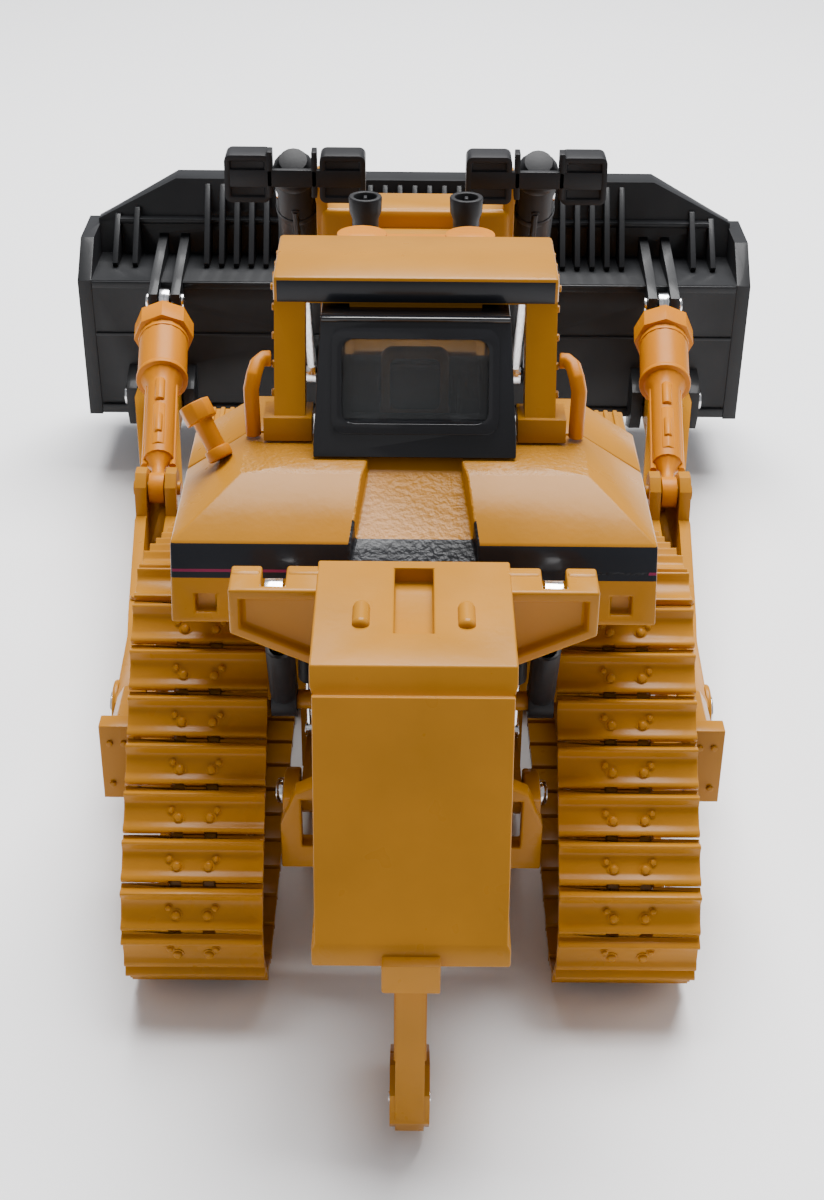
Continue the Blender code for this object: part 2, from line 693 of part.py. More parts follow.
def build_lift_cylinder(side_name, side):
    """A barrel hung by its trunnion from the nose, with its rod down to the blade's back."""
    top = (side * LIFT_X, *LIFT_PIVOT)
    bottom = (side * LIFT_X, *LIFT_EYE)

    def at(distance):
        return along(top, bottom, distance)

    reach = (Vector(bottom) - Vector(top)).length
    barrel = round_bar(f"lift_barrel_{side_name}", at(-6.0), at(27.0), 3.5, BLACK, sides=16)
    add(barrel, round_bar("head_dome", at(-8.0), at(-5.8), 2.4, sides=16, end_radius=3.5))
    cut(
        barrel,
        round_bar("rod_bore", at(3.0), at(28.0), 1.5),
        cross_bar("trunnion_bore", side * 16.5, side * 24.6, LIFT_PIVOT, HOLE_R),
    )
    hang_on(barrel, side * LIFT_X, LIFT_PIVOT)
    rod = round_bar(f"lift_rod_{side_name}", at(17.2), at(reach - 2.2), 1.1, CHROME)
    eye = [ring(LIFT_EYE, 2.7, 16), ring(LIFT_EYE, 1.9)]
    add(rod, plate("rod_eye", "X", eye, side * (LIFT_X - 0.95), side * (LIFT_X + 0.95)))
    hang_on(rod, side * LIFT_X, LIFT_EYE)


def build_work_lamps(side_name, side):
    """Two square lamps on a strap behind the head of a lift cylinder."""
    lamps = block(f"work_lamps_{side_name}", (side * 9.0, side * 31.0), (101.2, 102.5), (79.0, 82.0), BLACK)
    for centre in (12.2, 28.0):
        box = block("lamp", (side * (centre - 3.8), side * (centre + 3.8)), (101.3, 106.3), (76.4, 84.4))
        soften(box, 0.9, 2)
        add(lamps, box)
    hang_on(lamps, side * LIFT_X, LIFT_PIVOT)


build_blade()
build_cutting_edge()
for side_name, side in SIDES:
    build_push_arm(side_name, side)
    build_brace(side_name, side)
    build_lift_cylinder(side_name, side)
    build_work_lamps(side_name, side)


# ---- Ripper ----


def build_ripper_link():
    """The lower link: two arms on the chassis pin, tied by a cross member."""
    view = [capsule(CARRIAGE_PIVOT, LINK_PIVOT, 2.9), ring(CARRIAGE_PIVOT, HOLE_R), ring(LINK_PIVOT, HOLE_R)]
    link = plate("ripper_link", "X", view, -14.8, -12.2)
    add(
        link,
        plate("right_arm", "X", view, 12.2, 14.8),
        block("cross_member", (-12.6, 12.6), (10.5, 15.5), (23.2, 27.4)),
    )
    hang_on(link, 0.0, LINK_PIVOT)


CARRIAGE_VIEW = [(-1.0, 66.0), (-24.6, 66.0), (-26.3, 65.2), (-27.2, 63.2), (-33.4, 29.3), (-9.5, 29.3)]
CARRIAGE_VIEW += [(-9.5, 40.0), (-1.0, 55.0)]


def build_carriage():
    carriage = plate("ripper_carriage", "X", [CARRIAGE_VIEW], -11.8, 11.8)
    beam = [(-22.4, 65.8), (22.4, 65.8), (22.4, 59.6), (9.0, 53.5), (-9.0, 53.5), (-22.4, 59.6)]
    yoke = [(-17.4, 19.8), (17.4, 19.8), (17.4, 27.0), (15.4, 32.0), (10.6, 34.4), (-10.6, 34.4)]
    yoke += [(-15.4, 32.0), (-17.4, 27.0)]
    bracket = [(-3.5, -24.0), (-3.5, -35.0), (3.5, -35.0), (3.5, -24.0), (1.9, -24.0), (1.9, -32.6)]
    bracket += [(-1.9, -32.6), (-1.9, -24.0)]
    pocket = [(-34.0, 20.0), (-26.3, 61.0), (-18.4, 61.0), (-25.9, 20.0)]
    cheek = [(-2.2, 22.4), (-2.2, 30.2), (3.0, 30.8), (6.6, 29.2), (7.4, 27.0), (6.6, 24.8), (3.0, 23.2)]
    add(
        carriage,
        plate("beam", "Y", [beam], -8.0, -1.9),
        plate("yoke", "Y", [yoke], -3.6, -0.8),
        block("yoke_neck", (-8.0, 8.0), (-10.5, -1.5), (23.0, 33.4)),
        plate("shank_bracket", "Z", [bracket], 26.4, 30.7),
    )
    for _, side in SIDES:
        add(
            carriage,
            plate("yoke_cheek", "X", [cheek], side * 15.1, side * 17.15),
        )
        cut(
            carriage,
            block("clevis_slot", (side * 15.6, side * 18.6), (-6.8, 2.0), (50.0, 70.0)),
            block("yoke_window", (side * 11.2, side * 14.6), (-6.0, 2.0), (23.4, 31.0)),
        )
        add(carriage, cross_bar("tilt_pin", side * 15.0, side * 19.4, TILT_HEAD, 0.8))
    add(carriage, cross_bar("carriage_pin", -18.4, 18.4, CARRIAGE_PIVOT, PIN_R))
    cut(
        carriage,
        plate("shank_pocket", "X", [pocket], -2.15, 2.15),
        block("top_slot", (-2.35, 2.35), (-17.6, -2.7), (63.9, 70.0)),
    )
    hang_on(carriage, 0.0, CARRIAGE_PIVOT)


def build_shank():
    """The ripper tooth: a straight shank with its point turned forwards."""
    view = [(-20.4, 52.0), (-27.75, 52.0), (-31.9, 29.3), (-34.9, 11.5), (-35.0, 5.6), (-33.7, 2.2)]
    view += [(-27.0, 1.6), (-20.2, 2.0), (-21.8, 5.0), (-26.0, 8.2), (-28.0, 13.6), (-24.6, 29.3)]
    shank = plate("ripper_shank", "X", [view], -1.8, 1.8)
    point = [(-34.8, 9.4), (-34.8, 4.6), (-33.0, 2.2), (-27.0, 1.7), (-19.8, 2.0), (-22.0, 5.6), (-27.4, 9.6)]
    point += [(-31.5, 11.4)]
    add(shank, plate("ripper_point", "X", [point], -2.5, 2.5))
    hang_on(shank, 0.0, (-28.25, 29.3))


def build_ripper_cylinder(name, x, foot, head, mouth, rod_start, eye_r, hole_r):
    """A small barrel on a chassis pin, and its rod."""
    start, end = (x, *foot), (x, *head)
    reach = (Vector(end) - Vector(start)).length

    def at(distance):
        return along(start, end, distance)

    barrel = plate(f"{name}_barrel", "X", [ring(foot, 2.3, 16), ring(foot, HOLE_R)], x - 1.7, x + 1.7, BLACK)
    add(barrel, round_bar("tube", at(1.9), at(mouth), 1.9))
    cut(barrel, round_bar("rod_bore", at(2.5), at(mouth + 1.0), 1.4))
    hang_on(barrel, x, foot)
    rod = round_bar(f"{name}_rod", at(rod_start), at(reach - eye_r * 0.6), 1.0, CHROME)
    outlines = [ring(head, eye_r, 16)] + ([ring(head, hole_r)] if hole_r else [])
    add(rod, plate("rod_eye", "X", outlines, x - 1.1, x + 1.1))
    hang_on(rod, x, head)


build_ripper_link()
build_carriage()
build_shank()
for side_name, side in SIDES:
    build_ripper_cylinder(
        f"ripper_tilt_{side_name}", side * TILT_X, TILT_FOOT, TILT_HEAD, 13.5, 8.5, 2.2, 1.5
    )
    build_ripper_cylinder(
        f"ripper_lift_{side_name}", side * RIPPER_LIFT_X, RIPPER_LIFT_FOOT, RIPPER_LIFT_EYE, 10.5, 6.5, 1.3, 0.0
    )
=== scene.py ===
"""Looks of the toy bulldozer: enamelled castings, plastic trim, bolted track shoes and bright pins.

Its pieces are made where they stand at rest, and each one rides on the body of the casting it stands for.
"""

import json
import math

import bpy
from mathutils import Matrix, Vector


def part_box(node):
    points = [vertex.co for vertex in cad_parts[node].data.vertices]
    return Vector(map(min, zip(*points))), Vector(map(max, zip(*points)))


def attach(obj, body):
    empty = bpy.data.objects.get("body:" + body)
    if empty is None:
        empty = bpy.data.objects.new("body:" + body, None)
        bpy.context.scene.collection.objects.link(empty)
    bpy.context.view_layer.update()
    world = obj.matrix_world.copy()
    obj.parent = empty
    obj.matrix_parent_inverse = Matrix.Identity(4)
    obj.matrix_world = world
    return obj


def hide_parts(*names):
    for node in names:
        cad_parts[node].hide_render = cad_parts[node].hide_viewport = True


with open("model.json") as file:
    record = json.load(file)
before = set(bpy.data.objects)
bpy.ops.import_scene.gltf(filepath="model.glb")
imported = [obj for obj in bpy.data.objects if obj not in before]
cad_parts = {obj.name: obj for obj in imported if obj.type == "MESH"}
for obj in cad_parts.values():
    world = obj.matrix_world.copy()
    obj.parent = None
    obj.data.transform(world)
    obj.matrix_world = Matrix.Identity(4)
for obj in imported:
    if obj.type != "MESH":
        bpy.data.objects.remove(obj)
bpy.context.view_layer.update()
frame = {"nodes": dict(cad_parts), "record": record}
SLOTS = {part["node"]: part["material_slot"] for part in frame["record"]["subparts"]}
BODY_OF = {node: body for body, nodes in frame["record"]["behaviour"]["bodies"].items() for node in nodes}
MM = 0.001
MERGE_WITHIN = 0.000002
SIDES = (("left", -1), ("right", 1))
REAR_AXLE_Y = (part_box("rear_idler_left")[0][1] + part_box("rear_idler_left")[1][1]) / 2
FINISHED = set()

bpy.ops.object.select_all(action="DESELECT")


# ---- Finishes ----


def shader_of(name, colour, roughness, metallic=0.0):
    """A new material with its Principled shader's plain values set."""
    material = bpy.data.materials.new(name)
    material.use_nodes = True
    shader = material.node_tree.nodes["Principled BSDF"]
    shader.inputs["Base Color"].default_value = (*colour, 1.0)
    shader.inputs["Roughness"].default_value = roughness
    shader.inputs["Metallic"].default_value = metallic
    shader.inputs["Specular IOR Level"].default_value = 0.16
    return material, shader


def noise(tree, scale, detail=3.0, stretch=(1.0, 1.0, 1.0)):
    """Noise in the object's own coordinates, as a value from 0 to 1."""
    nodes, links = tree.nodes, tree.links
    place = nodes.new("ShaderNodeTexCoord")
    mapping = nodes.new("ShaderNodeMapping")
    mapping.inputs["Scale"].default_value = stretch
    texture = nodes.new("ShaderNodeTexNoise")
    texture.inputs["Scale"].default_value = scale
    texture.inputs["Detail"].default_value = detail
    links.new(place.outputs["Object"], mapping.inputs["Vector"])
    links.new(mapping.outputs["Vector"], texture.inputs["Vector"])
    return texture.outputs["Fac"]


def ramp(tree, value, low, high, start=0.35, end=0.65):
    """Blends two colours over a value."""
    node = tree.nodes.new("ShaderNodeValToRGB")
    node.color_ramp.elements[0].position = start
    node.color_ramp.elements[1].position = end
    node.color_ramp.elements[0].color = (*low, 1.0)
    node.color_ramp.elements[1].color = (*high, 1.0)
    tree.links.new(value, node.inputs["Fac"])
    return node.outputs["Color"]


def span(tree, value, low, high):
    """Maps a 0 to 1 value to a range."""
    node = tree.nodes.new("ShaderNodeMapRange")
    node.inputs["To Min"].default_value = low
    node.inputs["To Max"].default_value = high
    tree.links.new(value, node.inputs["Value"])
    return node.outputs["Result"]


def relief(tree, shader, value, distance, strength=0.5):
    """Raises the surface by a value, for orange peel or grain."""
    bump = tree.nodes.new("ShaderNodeBump")
    bump.inputs["Strength"].default_value = strength
    bump.inputs["Distance"].default_value = distance
    tree.links.new(value, bump.inputs["Height"])
    tree.links.new(bump.outputs["Normal"], shader.inputs["Normal"])


def painted(name, dark, light, gloss, peel_scale=900.0, peel=0.00004, coat=0.35):
    """Sprayed enamel: a slow drift of colour, uneven gloss and a fine orange peel."""
    material, shader = shader_of(name, light, sum(gloss) / 2)
    tree = material.node_tree
    drift = noise(tree, 60.0, 4.0)
    tree.links.new(ramp(tree, drift, dark, light), shader.inputs["Base Color"])
    tree.links.new(span(tree, noise(tree, 220.0, 2.0), *gloss), shader.inputs["Roughness"])
    relief(tree, shader, noise(tree, peel_scale, 2.0), peel)
    shader.inputs["Coat Weight"].default_value = coat
    shader.inputs["Coat Roughness"].default_value = 0.12
    return material


def moulded(name, dark, light, gloss, see_in=0.0):
    """Moulded plastic: faint flow marks and a fine tool grain."""
    material, shader = shader_of(name, light, sum(gloss) / 2)
    tree = material.node_tree
    flow = noise(tree, 90.0, 3.0, (1.0, 0.35, 1.0))
    tree.links.new(ramp(tree, flow, dark, light), shader.inputs["Base Color"])
    tree.links.new(span(tree, noise(tree, 300.0, 2.0), *gloss), shader.inputs["Roughness"])
    relief(tree, shader, noise(tree, 1600.0, 3.0), 0.00003)
    shader.inputs["Subsurface Weight"].default_value = see_in
    shader.inputs["Subsurface Radius"].default_value = (0.002, 0.001, 0.0005)
    return material


def plated(name):
    """Bright plating with fine turning marks."""
    material, shader = shader_of(name, (0.82, 0.82, 0.82), 0.16, 1.0)
    tree = material.node_tree
    marks = noise(tree, 700.0, 4.0, (6.0, 1.0, 1.0))
    tree.links.new(span(tree, marks, 0.08, 0.26), shader.inputs["Roughness"])
    tree.links.new(ramp(tree, marks, (0.62, 0.62, 0.63), (0.9, 0.9, 0.9)), shader.inputs["Base Color"])
    return material


def smoked(name):
    """Clear plastic with a grey tint and a faint haze."""
    material, shader = shader_of(name, (0.42, 0.42, 0.42), 0.05)
    tree = material.node_tree
    shader.inputs["Transmission Weight"].default_value = 0.9
    shader.inputs["IOR"].default_value = 1.3
    haze = noise(tree, 120.0, 3.0)
    tree.links.new(span(tree, haze, 0.03, 0.12), shader.inputs["Roughness"])
    tree.links.new(ramp(tree, haze, (0.36, 0.37, 0.37), (0.46, 0.47, 0.47)), shader.inputs["Base Color"])
    return material


GRAINY = {"peel_scale": 1300.0, "peel": 0.0006, "coat": 0.2}

ENAMEL = painted("yellow_enamel_gloss", (0.36, 0.150, 0.008), (0.42, 0.172, 0.010), (0.24, 0.34), coat=0.0)
GRIT = painted("yellow_enamel_grit", (0.37, 0.155, 0.010), (0.46, 0.190, 0.014), (0.3, 0.5), **GRAINY)
TRIM = moulded("yellow_trim_plastic", (0.46, 0.15, 0.0), (0.52, 0.175, 0.0), (0.34, 0.46), see_in=0.08)
BLADE_BLACK = painted(
    "black_blade_paint", (0.010, 0.0105, 0.0115), (0.016, 0.0165, 0.018), (0.34, 0.48), coat=0.1
)
PART_BLACK = moulded("black_part_plastic", (0.010, 0.010, 0.011), (0.018, 0.018, 0.02), (0.38, 0.5))
CAB_BLACK = painted("black_cab_gloss", (0.006, 0.006, 0.007), (0.010, 0.010, 0.012), (0.07, 0.14), coat=0.6)
BAND_BLACK = painted(
    "black_printed_band", (0.009, 0.010, 0.013), (0.014, 0.015, 0.019), (0.28, 0.36), coat=0.2
)
BAND_GRIT = painted("black_band_grit", (0.006, 0.006, 0.007), (0.016, 0.017, 0.02), (0.25, 0.5), **GRAINY)
BAND_LINE = painted(
    "magenta_printed_line", (0.16, 0.012, 0.045), (0.22, 0.018, 0.06), (0.28, 0.36), coat=0.2
)
BRIGHT = plated("bright_plated_metal")
CLEAR = smoked("smoked_clear_plastic")
TAN = moulded("tan_seat_plastic", (0.30, 0.13, 0.03), (0.40, 0.18, 0.045), (0.5, 0.62))
# A darker copy of the yellow enamel: painted shade for the track links, pins, rollers and sprocket shaft
# that sit in shadow under the machine.
LINK_PAINTED_SHADE = painted("shaded_link_enamel", (0.22, 0.10, 0.010), (0.30, 0.14, 0.015), (0.34, 0.5))

SLOT_FINISH = {
    "yellow_enamel": ENAMEL,
    "yellow_plastic": TRIM,
    "black_paint": BLADE_BLACK,
    "black_plastic": PART_BLACK,
    "gloss_black": CAB_BLACK,
    "bright_metal": BRIGHT,
    "smoked_clear": CLEAR,
    "tan_plastic": TAN,
}


# ---- Modelling helpers ----


def pick(piece):
    """Makes one piece the only selected and the active one."""
    bpy.ops.object.select_all(action="DESELECT")
    piece.select_set(True)
    bpy.context.view_layer.objects.active = piece


def settle(piece, material, name=None):
    """Bakes the object's place into its mesh and gives it one material."""
    pick(piece)
    bpy.ops.object.transform_apply(location=True, rotation=True, scale=True)
    if name:
        piece.name = name
        piece.data.name = name
    piece.data.materials.clear()
    piece.data.materials.append(material)
    return piece


def slab(low, high, material=ENAMEL):
    """A block between two corners."""
    low, high = Vector(low), Vector(high)
    bpy.ops.mesh.primitive_cube_add(size=1.0, location=(low + high) / 2)
    piece = bpy.context.object
    piece.scale = [abs(value) for value in high - low]
    return settle(piece, material)


def bar(start, end, radius, material=ENAMEL, sides=20, end_radius=None):
    """A round bar, or a cone, between two points."""
    start, end = Vector(start), Vector(end)
    turn = (end - start).to_track_quat("Z", "Y").to_euler()
    bpy.ops.mesh.primitive_cone_add(
        vertices=sides,
        radius1=radius,
        radius2=radius if end_radius is None else end_radius,
        depth=(end - start).length,
        location=(start + end) / 2,
        rotation=turn,
    )
    return settle(bpy.context.object, material)


def modify(piece, kind, **settings):
    """Adds one modifier and applies it."""
    pick(piece)
    modifier = piece.modifiers.new(kind.lower(), kind)
    for key, value in settings.items():
        setattr(modifier, key, value)
    bpy.ops.object.modifier_apply(modifier=modifier.name)
    return piece


def round_edges(piece, width, segments=2, angle=35.0):
    """Rounds the edges that are sharper than an angle."""
    return modify(
        piece,
        "BEVEL",
        width=width,
        segments=segments,
        limit_method="ANGLE",
        angle_limit=math.radians(angle),
        harden_normals=False,
    )


def smooth(piece, angle=38.0):
    """Shades the piece smooth, but keeps its sharp edges."""
    pick(piece)
    bpy.ops.object.shade_smooth_by_angle(angle=math.radians(angle))
    return piece


def clean(piece):
    """Merges doubles and turns the faces outwards."""
    pick(piece)
    bpy.ops.object.mode_set(mode="EDIT")
    bpy.ops.mesh.select_all(action="SELECT")
    bpy.ops.mesh.remove_doubles(threshold=MERGE_WITHIN)
    bpy.ops.mesh.normals_make_consistent(inside=False)
    bpy.ops.object.mode_set(mode="OBJECT")
    return piece


TURNS = {
    "X": Matrix(((0, 0, 1), (1, 0, 0), (0, 1, 0))).to_4x4(),
    "Y": Matrix(((1, 0, 0), (0, 0, -1), (0, 1, 0))).to_4x4(),
    "Z": Matrix.Identity(4),
}


def cut_plate(axis, outlines, lo, hi, material=ENAMEL):
    """A flat outline with holes, given thickness from lo to hi along an axis.

    Its points are (y, z) for X, (x, z) for Y and (x, y) for Z.
    """
    flat = bpy.data.curves.new("outline", "CURVE")
    flat.dimensions = "2D"
    flat.fill_mode = "BOTH"
    flat.extrude = abs(hi - lo) / 2
    for outline in outlines:
        spline = flat.splines.new("POLY")
        spline.points.add(len(outline) - 1)
        for point, (u, v) in zip(spline.points, outline):
            point.co = (u, v, 0.0, 1.0)
        spline.use_cyclic_u = True
    piece = bpy.data.objects.new("outline", flat)
    bpy.context.scene.collection.objects.link(piece)
    pick(piece)
    bpy.ops.object.convert(target="MESH")
    piece = bpy.context.object
    offset = {"X": (1, 0, 0), "Y": (0, 1, 0), "Z": (0, 0, 1)}[axis]
    piece.matrix_world = Matrix.Translation(Vector(offset) * (lo + hi) / 2) @ TURNS[axis]
    return clean(settle(piece, material))


def ring(centre, radius, sides=20):
    """The points of a round outline."""
    steps = [math.tau * (k + 0.5) / sides for k in range(sides)]
    return [(centre[0] + radius * math.cos(a), centre[1] + radius * math.sin(a)) for a in steps]


def join(pieces, name=None):
    """Joins separate solids into one piece, and keeps their finishes."""
    bpy.ops.object.select_all(action="DESELECT")
    for piece in pieces:
        piece.select_set(True)
    bpy.context.view_layer.objects.active = pieces[0]
    if len(pieces) > 1:
        bpy.ops.object.join()
    if name:
        pieces[0].name = name
        pieces[0].data.name = name
    return pieces[0]


def carve(piece, cutter):
    """Cuts one solid out of another and removes the cutter."""
    modify(piece, "BOOLEAN", operation="DIFFERENCE", object=cutter, solver="EXACT")
    bpy.data.objects.remove(cutter, do_unlink=True)
    return piece


def copy_of(piece, matrix):
    """Another piece with its own mesh, moved by a matrix."""
    twin = bpy.data.objects.new(piece.name, piece.data.copy())
    bpy.context.scene.collection.objects.link(twin)
    twin.data.transform(matrix)
    return twin


def wear(piece, node):
    """Rides a finished piece on the body of the casting it stands for."""
    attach(piece, BODY_OF[node])
    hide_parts(node)
    FINISHED.add(node)
    return piece


def refine(node, width=0.0003, segments=2, extra=()):
    """A finished copy of a casting: its flats made whole, its edges rounded and its details joined."""
    source = frame["nodes"][node]
    piece = bpy.data.objects.new(node + "_casting", source.data.copy())
    bpy.context.scene.collection.objects.link(piece)
    pick(piece)
    bpy.ops.object.mode_set(mode="EDIT")
    bpy.ops.mesh.select_all(action="SELECT")
    bpy.ops.mesh.remove_doubles(threshold=MERGE_WITHIN)
    bpy.ops.mesh.dissolve_limited(angle_limit=math.radians(0.5))
    bpy.ops.object.mode_set(mode="OBJECT")
    round_edges(piece, width, segments)
    settle(piece, SLOT_FINISH[SLOTS[node]], node + "_casting")
    smooth(piece)
    if extra:
        join([piece, *extra])
    return wear(piece, node)


# ---- Camera, light and floor ----


def set_camera():
    """A camera behind the machine, above it and looking down."""
    view = bpy.data.cameras.new("camera")
    view.lens = 55.8
    view.sensor_width = 36.0
    view.sensor_fit = "AUTO"
    view.clip_start = 0.01
    camera = bpy.data.objects.new("camera", view)
    bpy.context.scene.collection.objects.link(camera)
    camera.location = (-0.00072, -0.27335, 0.17982)
    camera.rotation_euler = (math.radians(90.0 - 30.98), math.radians(-0.47), math.radians(0.136))
    bpy.context.scene.camera = camera


def set_lights():
    """A broad soft box overhead, weak ones behind and beside, and a pale surround."""
    for name, place, aim, size, power in (
        ("top_box", (0.06, 0.26, 0.78), (0.0, 0.0, 0.05), 0.6, 21.0),
        ("rear_box", (-0.25, -0.65, 0.5), (0.0, -0.05, 0.04), 0.5, 0.15),
        ("side_box", (0.7, 0.05, 0.35), (0.0, 0.0, 0.04), 0.4, 0.8),
    ):
        light = bpy.data.lights.new(name, "AREA")
        light.shape = "SQUARE"
        light.size = size
        light.energy = power
        lamp = bpy.data.objects.new(name, light)
        bpy.context.scene.collection.objects.link(lamp)
        lamp.location = place
        lamp.rotation_euler = (Vector(place) - Vector(aim)).to_track_quat("Z", "Y").to_euler()
    world = bpy.data.worlds.new("surround")
    world.use_nodes = True
    world.node_tree.nodes["Background"].inputs["Color"].default_value = (0.93, 0.95, 1.0, 1.0)
    world.node_tree.nodes["Background"].inputs["Strength"].default_value = 0.42
    bpy.context.scene.world = world


def set_floor():
    """A pale floor with a faint drift of tone."""
    bpy.ops.mesh.primitive_plane_add(size=6.0, location=(0.0, 1.0, 0.0))
    floor = bpy.context.object
    material, shader = shader_of("pale_floor", (0.9, 0.9, 0.92), 0.5)
    tree = material.node_tree
    tone = ramp(tree, noise(tree, 2.0, 5.0), (0.9, 0.9, 0.91), (0.94, 0.94, 0.95))
    tree.links.new(tone, shader.inputs["Base Color"])
    settle(floor, material, "floor")


set_camera()
set_lights()
set_floor()


# ---- Track shoes ----

SHOES = 41
SHOE_HALF = 0.0094
IDLER_PATH_R = 0.0114
SPROCKET_PATH_R = 0.0132
# Both outlines hold (share of the pitch, height in millimetres).
SHOE_TOP = (
    (0.0, -0.2), (0.085, 0.0), (0.105, 0.45), (0.135, 1.0), (0.17, 1.27), (0.215, 1.27),
    (0.25, 1.0), (0.30, 0.45), (0.36, 0.16), (0.43, 0.05), (0.70, 0.05), (0.77, 0.18),
    (0.84, 0.5), (0.90, 0.66), (0.955, 0.6), (0.985, 0.35),
)
LINK_SIDE = (
    (-0.16, -1.3), (-0.05, -0.6), (0.9, -0.6), (1.02, -1.0), (1.06, -1.7), (0.98, -2.45),
    (0.8, -2.65), (0.55, -2.2), (0.3, -2.2), (0.08, -2.65), (-0.1, -2.45), (-0.18, -1.9),
)


def middle(node):
    """The centre of a casting's box."""
    low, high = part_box(node)
    return Vector(((low[0] + high[0]) / 2, (low[1] + high[1]) / 2, (low[2] + high[2]) / 2))


def track_wheels(side_name):
    """The centres and radii of the three wheels that the taut belt goes round, in order."""
    rows = (("rear_idler", IDLER_PATH_R), ("front_idler", IDLER_PATH_R), ("sprocket", SPROCKET_PATH_R))
    wheels = []
    for node, radius in rows:
        centre = middle(f"{node}_{side_name}")
        wheels.append((Vector((centre.y, centre.z)), radius))
    return wheels


def leaving(first, second):
    """The outward direction of the straight run between two wheels."""
    run = second[0] - first[0]
    lean = math.asin((first[1] - second[1]) / run.length)
    angle = math.atan2(run.y, run.x) - math.pi / 2 + lean
    return Vector((math.cos(angle), math.sin(angle)))


def track_points(side_name):
    """One point of the belt's path for each shoe."""
    wheels = track_wheels(side_name)
    dense = []
    for k, wheel in enumerate(wheels):
        after = wheels[(k + 1) % 3]
        arrive, leave = leaving(wheels[k - 1], wheel), leaving(wheel, after)
        start = math.atan2(arrive.y, arrive.x)
        sweep = (math.atan2(leave.y, leave.x) - start) % math.tau
        for step in range(121):
            angle = start + sweep * step / 120
            dense.append(wheel[0] + Vector((math.cos(angle), math.sin(angle))) * wheel[1])
        dense.append(after[0] + leave * after[1])
    lengths = [0.0]
    for first, second in zip(dense, dense[1:] + dense[:1]):
        lengths.append(lengths[-1] + (second - first).length)
    points, at = [], 0
    for shoe in range(SHOES):
        goal = lengths[-1] * shoe / SHOES
        while lengths[at + 1] < goal:
            at += 1
        share = (goal - lengths[at]) / max(lengths[at + 1] - lengths[at], 1e-9)
        points.append(dense[at].lerp(dense[(at + 1) % len(dense)], share))
    return points


def bolt(across, forward, up, radius, height):
    """A domed bolt head on a low washer face."""
    root = (across, forward, up - 0.0003)
    washer = bar(root, (across, forward, up + 0.00012), radius * 1.35, sides=14)
    head = bar(root, (across, forward, up + height), radius, sides=14)
    round_edges(head, radius * 0.55, 2)
    return [washer, head]


def shoe_model(pitch):
    """One shoe lying along Y, its outer face up: tall bar, bolts, lip, notched ends and two links."""
    outline = [(share * pitch, height * MM) for share, height in SHOE_TOP]
    outline += [(0.985 * pitch, -0.0004), (0.012 * pitch, -0.0009)]
    shoe = cut_plate("X", [outline], -SHOE_HALF, SHOE_HALF)
    for x in (-0.00228, 0.00228):
        carve(shoe, slab((x - 0.00085, -0.002, -0.002), (x + 0.00085, 0.075 * pitch, 0.002)))
        carve(shoe, slab((x - 0.00085, 0.955 * pitch, -0.002), (x + 0.00085, 1.1 * pitch, 0.002)))
    round_edges(shoe, 0.00018, 2, 40.0)
    pieces = [shoe]
    for sign in (-1, 1):
        pieces += bolt(sign * 0.0021, 0.655 * pitch, 0.00004, 0.00066, 0.00048)
        pieces += bolt(sign * 0.0031, 0.50 * pitch, 0.00004, 0.00044, 0.00040)
        side_view = [(share * pitch, height * MM) for share, height in LINK_SIDE]
        # The link rails take the yellow enamel darkened with painted shade.
        rail = cut_plate("X", [side_view], sign * 0.0014, sign * 0.0029, LINK_PAINTED_SHADE)
        round_edges(rail, 0.00012, 1)
        pieces.append(rail)
    # The link pin also takes the enamel darkened with painted shade.
    pin = bar((-0.0035, 0.0, -0.0016), (0.0035, 0.0, -0.0016), 0.0006, LINK_PAINTED_SHADE, 12)
    pieces.append(round_edges(pin, 0.0001, 1))
    return smooth(join(pieces, "track_shoe"), 45.0)


def lay_track(side_name, shoe):
    """Lays a copy of the shoe along each stretch of the belt."""
    points = track_points(side_name)
    centre_x = middle(f"track_belt_{side_name}").x
    copies = []
    for k, point in enumerate(points):
        run = (points[(k + 1) % SHOES] - point).normalized()
        matrix = Matrix(
            (
                (-1.0, 0.0, 0.0, centre_x),
                (0.0, run.x, run.y, point.x),
                (0.0, run.y, -run.x, point.y),
                (0.0, 0.0, 0.0, 1.0),
            )
        )
        copies.append(copy_of(shoe, matrix))
    belt = join(copies, f"track_shoes_{side_name}")
    return wear(belt, f"track_belt_{side_name}")


def lay_tracks():
    """Both belts, from one shoe."""
    points = track_points("left")
    shoe = shoe_model((points[1] - points[0]).length)
    for side_name, _ in SIDES:
        lay_track(side_name, shoe)
    bpy.data.objects.remove(shoe, do_unlink=True)


lay_tracks()


# ---- Printed bands and grit on the castings ----


def spot(x, y, z):
    """A point given in millimetres: across, forward of the rear idler's axle and up."""
    return Vector((x * MM, REAR_AXLE_Y + y * MM, z * MM))


def split_at(piece, point, normal):
    """Adds an edge loop where a plane crosses the piece."""
    pick(piece)
    bpy.ops.object.mode_set(mode="EDIT")
    bpy.ops.mesh.select_all(action="SELECT")
    bpy.ops.mesh.bisect(plane_co=point, plane_no=normal)
    bpy.ops.object.mode_set(mode="OBJECT")


def coat_faces(piece, material, chosen):
    """Gives a second finish to the faces that a test picks by centre, in millimetres, and normal."""
    piece.data.materials.append(material)
    index = len(piece.data.materials) - 1
    for face in piece.data.polygons:
        x, y, z = face.center / MM
        if chosen(x, y - REAR_AXLE_Y / MM, z, face.normal):
            face.material_index = index


def block_mm(across, forward, up, material=ENAMEL, edge=0.0):
    """A block from three spans in millimetres."""
    piece = slab(spot(across[0], forward[0], up[0]), spot(across[1], forward[1], up[1]), material)
    if edge:
        round_edges(piece, edge * MM, 2)
        smooth(piece)
    return piece


